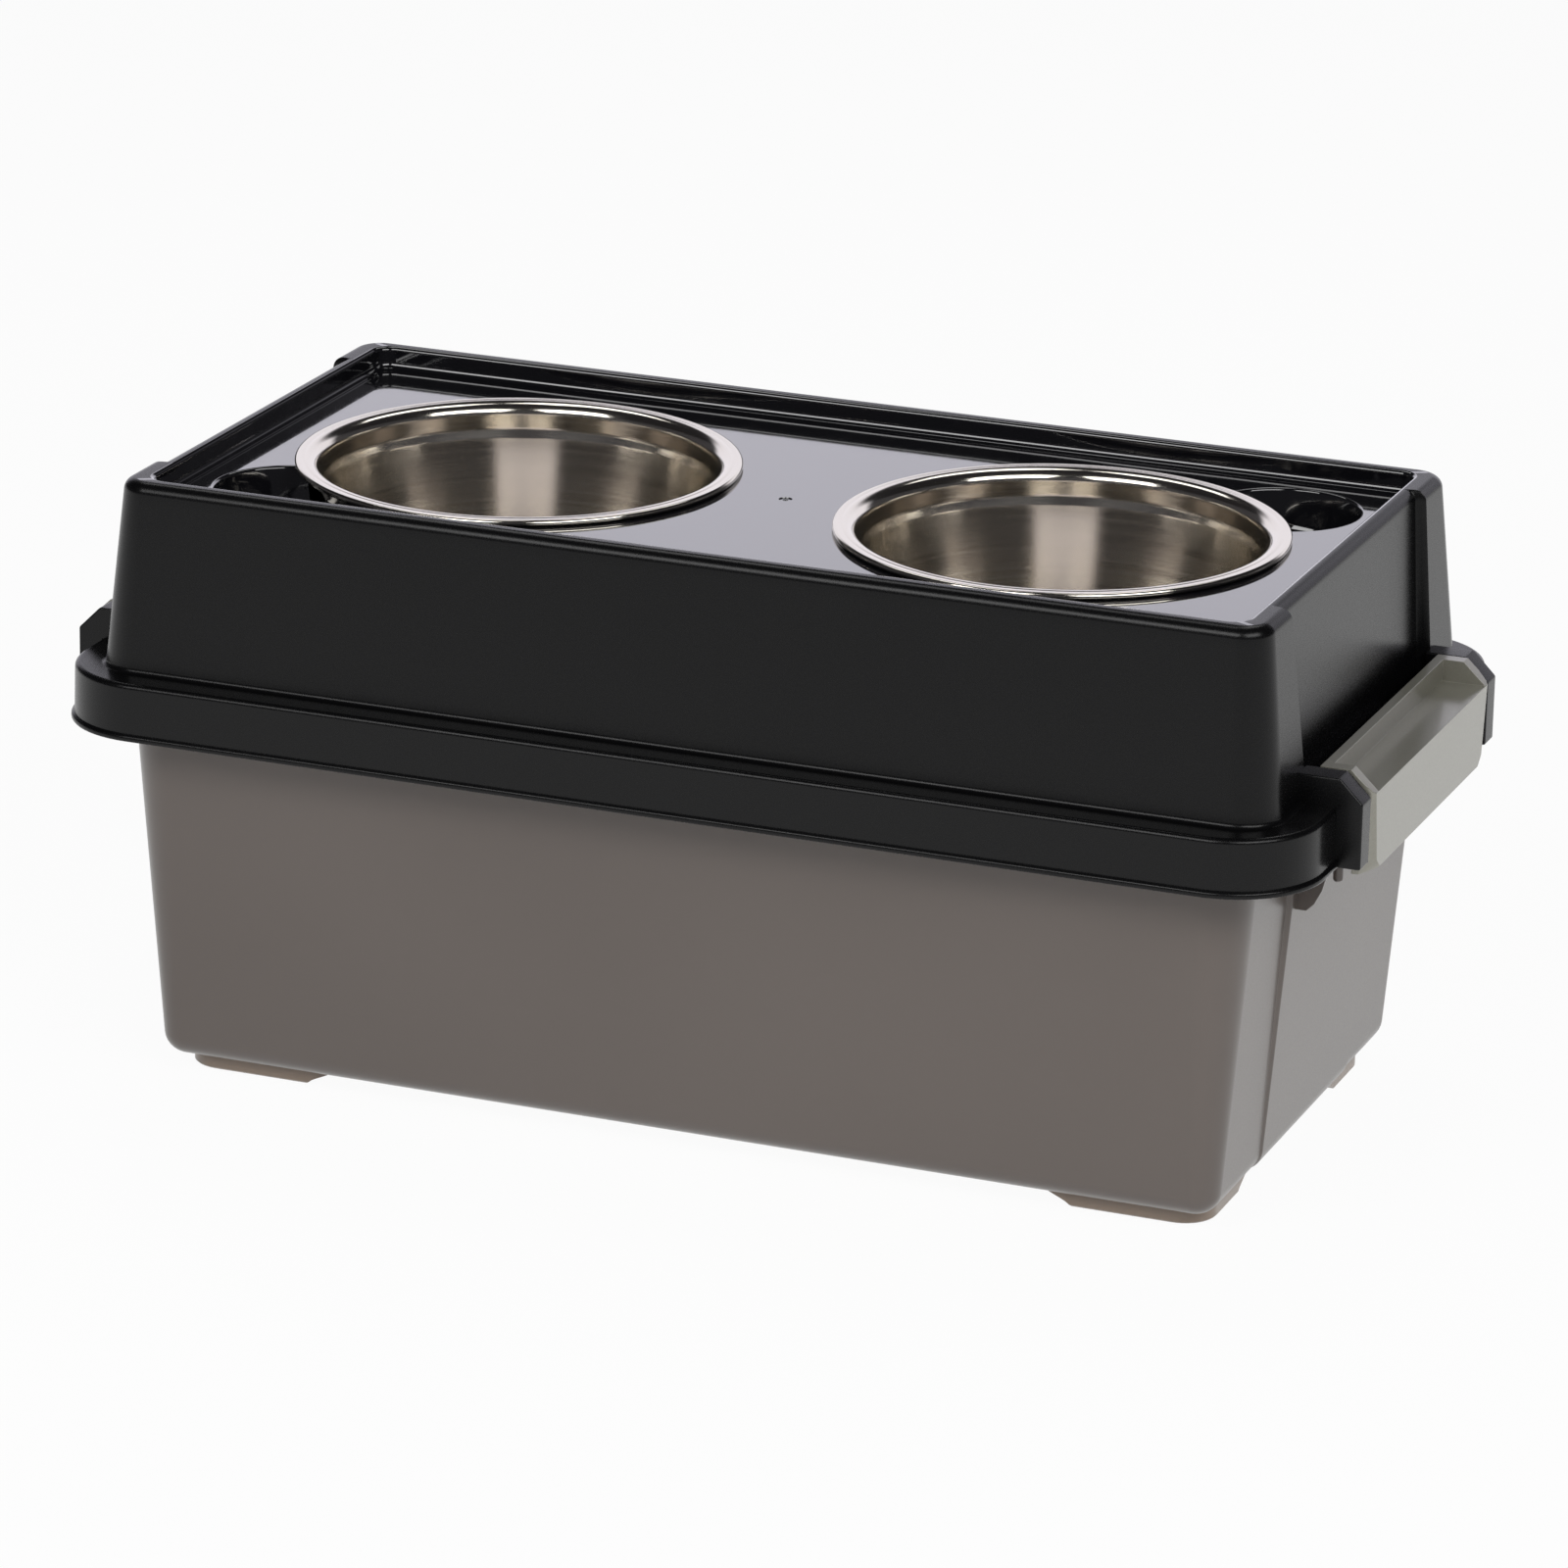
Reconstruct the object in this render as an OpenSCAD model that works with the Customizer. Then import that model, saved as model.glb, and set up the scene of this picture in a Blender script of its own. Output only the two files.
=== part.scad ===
// Raised feeding station for dogs: a storage bin, a lid that holds two steel bowls, a seal
// under the lid and a flip-up latch at each end. Millimetres, +Z up. The origin is on the
// floor under the middle of the bin, and +X runs along the long side.

/* [Storage bin] */
// Distance from the end of the lid's skirt in to the bin's end wall, just under the rim
bin_in_end = 30.1; // [28:0.1:36]
// Distance from the side of the lid's skirt in to the bin's long wall, just under the rim
bin_in_side = 21.3; // [19:0.1:30]
// Height from the underside of the floor to the top of the rim
bin_h = 182.2; // [130:0.1:240]
// Wall thickness of the bin
bin_wall = 2.4; // [2:0.1:3]
// Draft of the bin's walls in degrees
bin_draft = 4.3; // [2:0.1:5]
// Radius of the bin's upright corners
bin_r = 24; // [14:1:28]
// Height of the moulded feet
foot_h = 8.1; // [6:1:14]
// Length of a foot along the long side
foot_l = 64; // [45:1:80]
// Length of a foot along the short side
foot_w = 46; // [40:1:70]
// Width of a foot's two legs
foot_leg = 13; // [10:0.5:18]
// Length of the slope at the free end of a foot's leg
foot_ramp = 12.5; // [6:0.5:16]
// Height of the stepped rim that the lid sits on
rim_h = 15; // [12:0.5:20]
// Radius round the bin's lower edge
floor_r = 10; // [4:0.5:12]
// Half width of the raised pad on each end wall
pad_half = 70; // [50:1:75]
// How far the pad stands out at its top
pad_t = 3; // [0.5:0.1:3.5]

/* [Lid] */
// Distance from the block's foot out to the skirt's bead at the ends
shelf_end = 18.2; // [17:0.1:24]
// Distance from the block's foot out to the skirt's bead along the sides
shelf_side = 18.7; // [17:0.1:26]
// Corner radius of the skirt
lid_r = 44; // [34:1:50]
// Height of the skirt
skirt_h = 26.8; // [24:0.1:30]
// How far the bead round the skirt's lower edge stands out
bead = 1.6; // [0.8:0.1:2.2]
// Wall thickness of the lid
lid_wall = 2.8; // [2.2:0.1:3.2]
// Height of the raised block above the skirt's shelf
block_h = 87.4; // [80:0.1:120]
// Draft of the block's long sides in degrees
side_draft = 6; // [3:0.1:7]
// Draft of the block's ends in degrees
end_draft = 5.5; // [3:0.1:6]
// Depth of the recess in each end of the block, at the top
end_recess = 4.7; // [3:0.1:6]
// Depth of the tray below the block's top edge
tray_d = 11; // [7:0.1:16]
// Width of the tray's rim along the long sides
tray_rim = 6.3; // [5.5:0.1:9]
// Width of the tray's rim at the ends
tray_rim_end = 11; // [10:0.1:14]

/* [Bowls] */
// Outer diameter of a bowl over its rolled rim
bowl_d = 208; // [196:1:214]
// Gap between the two bowls' rims
bowl_gap = 59; // [40:1:90]
// Gap from a bowl's rim to the end wall of the tray
tray_end = 25.5; // [23:0.5:40]
// Gap from a bowl's rim to the long wall of the tray
tray_side = 26.4; // [22:0.2:40]
// Height of a bowl
bowl_h = 77; // [55:1:78]
// Diameter of the rolled rim's bead
roll_d = 4.4; // [3.6:0.1:5.5]
// Width of the flat rim inside the bead
rim_flat = 9.6; // [8:0.1:13]
// Sheet thickness of a bowl
sheet = 0.9; // [0.7:0.1:1.2]
// Slope of a bowl's side in degrees
bowl_slope = 12; // [6:1:16]
// Radius of each finger pocket
pocket_r = 34.5; // [28:0.5:36]
// Distance of a finger pocket's centre beyond its bowl's rim
pocket_out = 9; // [2:0.5:11]
// Gap from a finger pocket to the long wall of the tray
pocket_side = 16; // [6:0.5:30]
// Depth of a finger pocket
pocket_d = 24; // [16:1:30]

/* [Latches] */
// Length of a latch
latch_l = 178.2; // [140:0.2:186]
// Gap at each end of a latch
latch_gap = 0.5; // [0.3:0.1:1]
// Thickness of the ears that carry a latch
ear_t = 13; // [10:0.5:16]
// Radius of a latch's pins
pin_r = 2.5; // [2:0.1:3]
// Running clearance round a pin
pin_play = 0.05; // [0.02:0.01:0.1]
// Length of a pin
pin_l = 6.5; // [4:0.5:8]
// Wall thickness of a latch
latch_wall = 2.8; // [2.2:0.1:3.2]

/* [Seal] */
// Height of the seal
seal_h = 5; // [4:0.5:6]
// Width of the seal
seal_w = 4; // [3:0.1:5]

/* [Fits] */
// Gap where one piece rests on another
rest_gap = 0.2; // [0.1:0.05:0.3]
// Gap between a latch's hook and the bin
hook_gap = 0.4; // [0.3:0.05:0.6]

/* [Hidden] */
$fn = 96;
// Segments in each quarter of a lofted corner
arc_n = 8;
// Overlap that keeps a cut clear of a face
eps = 1;

// Lengths and widths, from the bowls outwards
bowl_r = bowl_d / 2;
bowl_x = bowl_r + bowl_gap / 2;
tray_hx = bowl_x + bowl_r + tray_end;
tray_hy = bowl_r + tray_side;
block_l = 2 * (tray_hx + tray_rim_end);
block_w = 2 * (tray_hy + tray_rim);
lid_l = 2 * (block_hx(0) + shelf_end);
lid_w = 2 * (block_hy(0) + shelf_side);
bin_l = lid_l - 2 * bin_in_end;
bin_w = lid_w - 2 * bin_in_side;

// Heights
floor_z = foot_h;
rim_z = foot_h + bin_h;
ledge_z = rim_z - rim_h;
shelf_under = rim_z + rest_gap + seal_h;
shelf_z = shelf_under + lid_wall;
skirt_z = shelf_z - skirt_h;
top_z = shelf_z + block_h;
deck_z = top_z - tray_d;

// Stepped rim of the bin
step_clear = 3.4;
skirt_in = bead + lid_wall;
end_clear = 1.2;
rim_hx = lid_l / 2 - skirt_in - step_clear - end_clear;
rim_hy = lid_w / 2 - skirt_in - step_clear;
rim_r = lid_r - skirt_in - step_clear;
ledge_t = 2.5;

// Block of the lid
block_r = 14;
block_foot_r = 20;
edge_r = 2;
tray_r = 8;
tray_wall = 2.3;
panel_lean = 6.5;
panel_top = block_l / 2 - end_recess;
panel_foot = panel_top + panel_lean;
column_w = 38;
column_lean = 6;
recess_top = block_w / 2 - column_w;
recess_foot = recess_top - column_lean;

// Wells under the bowls
body_r = bowl_r - roll_d - rim_flat + sheet;
well_gap = 5;
well_r = body_r + well_gap;
well_clear = 3;
well_floor = deck_z + rest_gap + roll_d - bowl_h - well_clear;
well_taper = 8;
pocket_round = 10;
pocket_off = bowl_r + pocket_out;
pocket_turn = asin((tray_hy - pocket_side - pocket_r) / pocket_off);

// Latches and the ears that carry them
ear_in = latch_l / 2 + latch_gap;
ear_top = 14.1;
ear_reach = 10;
ear_out = lid_l / 2 + ear_reach;
ear_bevel = 10.8;
hinge_in = 8.5;
hinge_up = 8.7;
hinge_x = lid_l / 2 - hinge_in;
hinge_z = shelf_z + hinge_up;
grip_up = 5.5;
grip_in = 5.6;
latch_top = hinge_z + grip_up;
latch_back = hinge_x - grip_in;
latch_face = ear_out + 1;
plate_t = 9;
hollow_t = 10;
scoop_d = 10.2;
scoop_lip = 4.6;
scoop_end = 6.9;
scoop_back = latch_back + scoop_lip;
scoop_half = latch_l / 2 - scoop_end;
hook_half = 55;
hook_top = hinge_z - norm([lid_l / 2 - hinge_x, hinge_z - skirt_z]) - hook_gap;
hook_t = 2.9;
nose_h = 2.2;
nose_in = 5;
nose_x = hinge_x - nose_in;
nose_w = 4;
catch_w = 4;
bevel_d = 5.7;
bevel_top = 2;
bevel_foot = 8.4;

// Points of one rounded corner, and of a whole rounded rectangle
function corner(cx, cy, r, a0) =
    [for (i = [0:arc_n]) [cx + r * cos(a0 + 90 * i / arc_n), cy + r * sin(a0 + 90 * i / arc_n)]];
function outline(hx, hy, r) = concat(
    corner(hx - r, hy - r, r, 0),
    corner(r - hx, hy - r, r, 90),
    corner(r - hx, r - hy, r, 180),
    corner(hx - r, r - hy, r, 270));

// One ring of a loft: half length, half width, corner radius, height, all set in by d
function ring(hx, hy, r, z, d = 0) = [hx - d, hy - d, max(r - d, 1), z];

// Solid through a stack of rounded rectangles, from the lowest to the highest
module loft(rings) {
    n = 4 * (arc_n + 1);
    last = (len(rings) - 1) * n;
    points = [for (q = rings) for (p = outline(q[0], q[1], q[2])) [p[0], p[1], q[3]]];
    sides = [for (k = [0:len(rings) - 2]) for (i = [0:n - 1])
        [k * n + i, (k + 1) * n + i, (k + 1) * n + (i + 1) % n, k * n + (i + 1) % n]];
    floor_face = [for (i = [0:n - 1]) i];
    top_face = [for (i = [n - 1:-1:0]) last + i];
    polyhedron(points, concat([floor_face], sides, [top_face]));
}

// Upright plate with a rounded outline
module slab(hx, hy, r, z, h) {
    translate([0, 0, z]) linear_extrude(h)
        union() {
            square([2 * hx, 2 * (hy - r)], center = true);
            square([2 * (hx - r), 2 * hy], center = true);
            for (sx = [-1, 1]) for (sy = [-1, 1]) translate([sx * (hx - r), sy * (hy - r)]) circle(r);
        }
}

// Profile drawn in X and Z, stretched along Y between two places
module across(y0, y1, profile) {
    translate([0, y1, 0]) rotate([90, 0, 0]) linear_extrude(y1 - y0) polygon(profile);
}

// Both ends of the feeder
module both_ends() {
    for (side = [0, 1]) mirror([side, 0, 0]) children();
}

// Storage bin
function bin_ring(z, d = 0) =
    let (fall = (ledge_z - z) * tan(bin_draft)) ring(bin_l / 2, bin_w / 2, bin_r, z, fall + d);

// Face of the end wall at a height, measured from the middle of the bin
function bin_end(z) = bin_l / 2 - (ledge_z - z) * tan(bin_draft);

module end_pad() {
    low = floor_z + 3;
    full = floor_z + floor_r;
    high = ledge_z + 0.5;
    both_ends() intersection() {
        across(-bin_w / 2, bin_w / 2, [
            [bin_end(low) - bin_wall - 1, low], [bin_end(low) - 1.4, low],
            [bin_end(full) + pad_t / 3, full], [bin_end(high) + pad_t, high],
            [bin_end(high) - 1, high], [bin_end(full) - 1, full]]);
        rotate([90, 0, 90]) linear_extrude(bin_l) polygon([
            [7 - pad_half, floor_z], [pad_half - 7, floor_z],
            [pad_half, rim_z], [-pad_half, rim_z]]);
    }
}

module bin_shell() {
    difference() {
        loft(concat(
            [for (a = [90:-15:0]) bin_ring(floor_z + floor_r * (1 - sin(a)), floor_r * (1 - cos(a)))],
            [
                bin_ring(ledge_z),
                ring(rim_hx, rim_hy, rim_r, ledge_z),
                ring(rim_hx, rim_hy, rim_r, rim_z)]));
        loft([
            bin_ring(floor_z + bin_wall, floor_r),
            bin_ring(floor_z + bin_wall + 2, floor_r - 4),
            bin_ring(floor_z + floor_r + 1, bin_wall),
            bin_ring(ledge_z + ledge_t, bin_wall),
            ring(rim_hx, rim_hy, rim_r, ledge_z + ledge_t, bin_wall),
            ring(rim_hx, rim_hy, rim_r, rim_z + eps, bin_wall)]);
    }
}

// One foot, an L with sloping ends that follows the bin's corner
toe_hx = bin_end(floor_z) - 6.5;
toe_hy = toe_hx - (bin_l - bin_w) / 2 - 6.5;
toe_r = 16;

module foot(d, low, high) {
    intersection() {
        slab(toe_hx - d, toe_hy - d, toe_r - d, low, high - low);
        union() {
            across(toe_hy - foot_leg + d, toe_hy, [
                [toe_hx - foot_l + d, low], [toe_hx, low],
                [toe_hx, high], [toe_hx - foot_l + d - foot_ramp, high]]);
            translate([toe_hx, 0, 0]) rotate([0, 0, 90]) across(0, foot_leg - d, [
                [toe_hy - foot_w + d, low], [toe_hy, low],
                [toe_hy, high], [toe_hy - foot_w + d - foot_ramp, high]]);
        }
    }
}

module each_foot() {
    for (sx = [0, 1]) for (sy = [0, 1]) mirror([sx, 0, 0]) mirror([0, sy, 0]) children();
}

// Ribs that hold up the rim beyond the end walls, and the bar that the hooks catch
module end_ribs() {
    rib_t = 2.5;
    rib_y = 62;
    rib_drop = 40;
    lip_drop = 13;
    neck_drop = 20;
    waist_drop = 30;
    heel_drop = 36.5;
    neck_in = 7;
    waist_in = 9.7;
    heel_in = 13;
    toe_in = 16.5;
    nub_r = 2.3;
    nub_drop = 24.5;
    wall_x = bin_end(ledge_z - rib_drop) - bin_wall / 2;
    both_ends() {
        for (s = [-1, 1]) across(s * rib_y - rib_t / 2, s * rib_y + rib_t / 2, [
            [wall_x, ledge_z + eps], [rim_hx - 0.5, ledge_z + eps], [rim_hx - 0.5, ledge_z - lip_drop],
            [rim_hx - neck_in, ledge_z - neck_drop], [rim_hx - waist_in, ledge_z - waist_drop],
            [rim_hx - heel_in, ledge_z - heel_drop], [rim_hx - toe_in, ledge_z - rib_drop],
            [wall_x, ledge_z - rib_drop]]);
        across(-hook_half - 3, hook_half + 3, [
            [rim_hx - catch_w, hook_top + hook_gap], [rim_hx, hook_top + hook_gap],
            [rim_hx, ledge_z + eps], [rim_hx - catch_w, ledge_z + eps]]);
        for (s = [-1, 1]) translate([rim_hx - nub_r - 0.5, s * rib_y, ledge_z - nub_drop])
            cylinder(h = nub_drop + 1, r = nub_r);
    }
}

module storage_bin() {
    color([0.40, 0.37, 0.35, 0.9]) union() {
        difference() {
            union() {
                bin_shell();
                end_pad();
                each_foot() foot(0, 0, floor_z + bin_wall);
            }
            each_foot() foot(bin_wall, bin_wall, floor_z + bin_wall + eps);
        }
        end_ribs();
    }
}

// Lid
module lid_outside() {
    fillet = 2.5;
    loft([
        ring(lid_l / 2, lid_w / 2, lid_r, skirt_z, 0.6),
        ring(lid_l / 2, lid_w / 2, lid_r, skirt_z + 0.9),
        ring(lid_l / 2, lid_w / 2, lid_r, skirt_z + 2.2),
        ring(lid_l / 2, lid_w / 2, lid_r, skirt_z + 3.2, bead),
        ring(lid_l / 2, lid_w / 2, lid_r, shelf_z - 2, bead + 0.4),
        ring(lid_l / 2, lid_w / 2, lid_r, shelf_z - 0.6, bead + 0.9),
        ring(lid_l / 2, lid_w / 2, lid_r, shelf_z, bead + 2.4),
        ring(block_hx(0), block_hy(0), block_foot_r, shelf_z, -fillet),
        ring(block_hx(0), block_hy(0), block_foot_r, shelf_z + 0.7, -0.7),
        ring(block_hx(fillet), block_hy(fillet), block_foot_r, shelf_z + fillet),
        for (a = [0:22.5:90]) ring(block_l / 2, block_w / 2, block_r,
            top_z - edge_r * (1 - sin(a)), edge_r * (1 - cos(a)))]);
}
function block_hx(h) = block_l / 2 + (block_h - h) * tan(end_draft);
function block_hy(h) = block_w / 2 + (block_h - h) * tan(side_draft);

// Hollow under the lid, before the tray, the wells and the end recesses are left in it
module lid_inside() {
    loft([
        ring(lid_l / 2, lid_w / 2, lid_r, skirt_z - eps, skirt_in),
        ring(lid_l / 2, lid_w / 2, lid_r, shelf_under, skirt_in),
        ring(block_hx(0), block_hy(0), block_foot_r, shelf_under, lid_wall),
        ring(block_l / 2, block_w / 2, block_r, top_z - lid_wall, lid_wall)]);
}

// Recess between the corner columns at each end of the block, grown by d to back it
module end_panel(d) {
    high = top_z + eps;
    both_ends() intersection() {
        across(-lid_w / 2, lid_w / 2, [
            [panel_foot - d, shelf_z - d], [panel_top - d, high], [lid_l, high], [lid_l, shelf_z - d]]);
        rotate([90, 0, 90]) linear_extrude(lid_l) polygon([
            [-recess_foot - d, shelf_z - d - eps], [recess_foot + d, shelf_z - d - eps],
            [recess_top + d, high + eps], [-recess_top - d, high + eps]]);
    }
}

// Places of the bowls: the right one turned half round, so that its pocket is at the rear
module each_bowl() {
    translate([-bowl_x, 0, 0]) children();
    translate([bowl_x, 0, 0]) rotate([0, 0, 180]) children();
}

// Closed cup under a bowl, with its finger pocket, grown by d for the outside
module well(d, high) {
    low = well_floor - d;
    rotate_extrude() polygon([
        [0, low], [well_r - 2 * well_taper + d, low], [well_r - well_taper + d, low + well_taper],
        [well_r + d, high], [0, high]]);
    pocket_low = deck_z - pocket_d - d;
    rotate([0, 0, 180 + pocket_turn]) translate([pocket_off, 0, 0]) rotate_extrude() polygon([
        [0, pocket_low], [pocket_r - pocket_round + d, pocket_low],
        [pocket_r - 0.3 * pocket_round + d, pocket_low + 0.5 * pocket_round],
        [pocket_r + d, pocket_low + 1.4 * pocket_round], [pocket_r + d, high], [0, high]]);
}

// Ear outside the skirt, with a blind bore for a latch's pin
module ear() {
    difference() {
        across(ear_in, ear_in + ear_t, [
            [block_hx(ear_top) - 1, shelf_z - 1], [block_hx(ear_top) - 1, shelf_z + ear_top],
            [ear_out - ear_bevel, shelf_z + ear_top], [ear_out, shelf_z + ear_top - ear_bevel],
            [ear_out, skirt_z], [lid_l / 2 - bead - 1, skirt_z], [lid_l / 2 - bead - 1, shelf_z - 1]]);
        translate([lid_l / 2 + 0.6, ear_in + 2.5, skirt_z - eps])
            cube([ear_out - lid_l / 2 - 3.1, ear_t - 5, skirt_h - 4]);
        translate([hinge_x, ear_in + pin_l + latch_gap + 0.5, hinge_z]) rotate([90, 0, 0])
            cylinder(h = pin_l + latch_gap + 0.5 + eps, r = pin_r + pin_play);
    }
}

// Rib under the shelf that locates the lid inside the bin's rim
module locating_rib() {
    d = bin_wall + 1.2;
    rib_t = 2;
    drop = 9;
    difference() {
        slab(rim_hx - d, rim_hy - d, rim_r - d, shelf_under - drop, drop + 0.5);
        slab(rim_hx - d - rib_t, rim_hy - d - rib_t, rim_r - d - rib_t, shelf_under - drop - eps, drop + 3);
    }
}

module lid() {
    gate_r = 3.2;
    color([0.13, 0.13, 0.14]) difference() {
        union() {
            difference() {
                lid_outside();
                end_panel(0);
                difference() {
                    lid_inside();
                    end_panel(lid_wall);
                    slab(tray_hx + tray_wall, tray_hy + tray_wall, tray_r + tray_wall,
                        deck_z - lid_wall, tray_d + lid_wall + eps);
                    each_bowl() well(lid_wall, deck_z - 1);
                }
            }
            locating_rib();
            both_ends() for (s = [0, 1]) mirror([0, s, 0]) ear();
        }
        slab(tray_hx, tray_hy, tray_r, deck_z, tray_d + eps);
        each_bowl() well(0, deck_z + eps);
        translate([0, 0, deck_z - 0.4]) cylinder(h = 1, r = gate_r);
    }
}

// Seal between the lid's shelf and the bin's rim
module lid_seal() {
    mid = bin_wall / 2;
    half = seal_w / 2;
    color([0.20, 0.20, 0.21]) difference() {
        slab(rim_hx - mid + half, rim_hy - mid + half, rim_r - mid + half, rim_z + rest_gap, seal_h);
        slab(rim_hx - mid - half, rim_hy - mid - half, rim_r - mid - half, rim_z, seal_h + eps);
    }
}

// Bowl: a spun cup with a flat rim, rolled down at its edge
module bowl() {
    rim_top = deck_z + rest_gap + roll_d;
    base_z = rim_top - bowl_h;
    roll_r = roll_d / 2;
    throat = bowl_r - roll_d - rim_flat;
    band_h = 14;
    band_r = throat - 0.8;
    shoulder = 1.4;
    corner_h = 10;
    wall_h = bowl_h - band_h - shoulder - corner_h;
    low_r = band_r - shoulder - wall_h * tan(bowl_slope);
    base_r = low_r - corner_h * 0.9;
    inside = [
        [throat, rim_top + eps], [throat, rim_top], [band_r, rim_top - band_h],
        [band_r - shoulder, rim_top - band_h - shoulder], [low_r, base_z + corner_h],
        [low_r - 1.4, base_z + 5.5], [low_r - 4, base_z + 2.4], [base_r, base_z + sheet],
        [0, base_z + sheet], [0, rim_top + eps]];
    outside = [
        [0, base_z], [base_r, base_z], [low_r - 3.6 + sheet, base_z + 1.6],
        [low_r - 0.9 + sheet, base_z + 5.2], [low_r + sheet, base_z + corner_h],
        [band_r - shoulder + sheet, rim_top - band_h - shoulder], [band_r + sheet, rim_top - band_h],
        [throat + sheet, rim_top - 2 * sheet], [throat + 2 * sheet, rim_top - sheet],
        [bowl_r - roll_r, rim_top - sheet], [bowl_r - roll_r, rim_top], [0, rim_top]];
    color([0.75, 0.74, 0.71]) rotate_extrude() union() {
        difference() {
            polygon(outside);
            polygon(inside);
        }
        translate([bowl_r - roll_r, rim_top - roll_r]) circle(roll_r);
    }
}

module left_bowl() {
    translate([-bowl_x, 0, 0]) bowl();
}

module right_bowl() {
    translate([bowl_x, 0, 0]) bowl();
}

// Latch at the +X end: a beam over the shelf with a finger scoop, a plate down the outside
// of the skirt and a hook that turns in under the bin's rim
module latch() {
    half = latch_l / 2;
    beam_low = shelf_z + 2.2;
    plate_low = hook_top - nose_h - hook_t;
    color([0.60, 0.59, 0.54]) union() {
        difference() {
            intersection() {
                across(-half, half, [
                    [latch_back, beam_low + 3.2], [latch_back, latch_top],
                    [latch_face - ear_bevel, latch_top], [latch_face, latch_top - scoop_d],
                    [latch_face, plate_low + 0.8], [latch_face - 0.8, plate_low],
                    [latch_face - plate_t, plate_low], [latch_face - plate_t, beam_low],
                    [latch_back + 2.6, beam_low]]);
                hull() {
                    translate([latch_back, -half, plate_low])
                        cube([latch_face - bevel_d - latch_back, latch_l, latch_top - plate_low]);
                    translate([latch_face, 0, 0]) rotate([90, 0, 90]) linear_extrude(0.01) polygon([
                        [half - bevel_foot - 6, plate_low], [half - bevel_foot, plate_low + 5],
                        [half - bevel_top, latch_top], [bevel_top - half, latch_top],
                        [bevel_foot - half, plate_low + 5], [bevel_foot + 6 - half, plate_low]]);
                }
            }
            translate([scoop_back, -scoop_half, latch_top - scoop_d])
                cube([latch_face, 2 * scoop_half, scoop_d + eps]);
            translate([latch_face - hollow_t, bevel_foot + latch_wall - half, plate_low + hook_t])
                cube([hollow_t - latch_wall, latch_l - 2 * bevel_foot - 2 * latch_wall,
                    beam_low - plate_low - hook_t]);
        }
        across(-hook_half, hook_half, [
            [nose_x, plate_low], [latch_face - 4, plate_low], [latch_face - 4, plate_low + hook_t],
            [nose_x + nose_w, plate_low + hook_t], [nose_x + nose_w, hook_top], [nose_x, hook_top]]);
        for (s = [0, 1]) mirror([0, s, 0])
            translate([hinge_x, half + pin_l, hinge_z]) rotate([90, 0, 0]) cylinder(h = pin_l + 1, r = pin_r);
    }
}

module right_latch() {
    latch();
}

module left_latch() {
    rotate([0, 0, 180]) latch();
}

storage_bin();
lid();
lid_seal();
left_bowl();
right_bowl();
left_latch();
right_latch();
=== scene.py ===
# %% [markdown]
# # A raised dog feeder with storage
# A moulded bin holds food and toys. Its lid carries two steel bowls in a shallow tray, and a
# latch at each end holds the lid down. The solids come ready made from the CAD model; this
# lesson builds smooth, finished pieces over them, in metres and in the same place.

import math

import bmesh
import bpy
from mathutils import Matrix, Vector


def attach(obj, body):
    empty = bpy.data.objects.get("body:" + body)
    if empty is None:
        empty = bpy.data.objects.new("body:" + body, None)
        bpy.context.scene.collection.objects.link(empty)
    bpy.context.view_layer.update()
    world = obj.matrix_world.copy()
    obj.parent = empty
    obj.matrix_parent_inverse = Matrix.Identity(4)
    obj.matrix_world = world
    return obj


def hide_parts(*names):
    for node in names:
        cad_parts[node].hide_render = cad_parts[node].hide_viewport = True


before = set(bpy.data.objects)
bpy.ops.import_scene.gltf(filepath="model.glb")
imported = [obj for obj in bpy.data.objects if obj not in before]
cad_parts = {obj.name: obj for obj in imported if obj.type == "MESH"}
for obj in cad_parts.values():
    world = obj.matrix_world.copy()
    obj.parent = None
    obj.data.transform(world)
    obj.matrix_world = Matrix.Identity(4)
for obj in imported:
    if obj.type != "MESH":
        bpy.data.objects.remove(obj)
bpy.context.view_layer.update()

# %% [markdown]
# ## Camera
# The photograph was taken with a long lens from the front right, a little above the feeder.
# Its place and focal length were solved from the round bowl rims and the straight edges, so
# the render can be laid over the photograph.

# %% Camera at the photograph's angle
AZIMUTH, ELEVATION, TILT = (math.radians(a) for a in (21.2, 18.54, 1.07))
CAMERA_PLACE, FOCAL_LENGTH, SENSOR = (1.1736, -3.0226, 1.2244), 169.36, 36
back = Vector((math.sin(AZIMUTH) * math.cos(ELEVATION),
               -math.cos(AZIMUTH) * math.cos(ELEVATION), math.sin(ELEVATION)))
level = Vector((math.cos(AZIMUTH), math.sin(AZIMUTH), 0))
above = back.cross(level)
right = math.cos(TILT) * level + math.sin(TILT) * above
up = math.cos(TILT) * above - math.sin(TILT) * level

camera_data = bpy.data.cameras.new("camera")
camera_data.lens, camera_data.sensor_width = FOCAL_LENGTH, SENSOR
camera = bpy.data.objects.new("camera", camera_data)
bpy.context.scene.collection.objects.link(camera)
turn = Matrix((right, up, back)).transposed().to_4x4()
camera.matrix_world = Matrix.Translation(CAMERA_PLACE) @ turn
bpy.context.scene.camera = camera
bpy.context.scene.view_settings.view_transform = "Standard"
print("camera stands", round(camera.location.length, 2), "m from the feeder's foot")

# %% [markdown]
# ## Finishes
# Every finish starts from what the real one is made of. The colours are the sRGB values that
# a paint chart would give, and one function turns them to the linear values that Blender
# mixes. Patterns are placed by Object coordinates, which are metres on the finished piece.

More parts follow.
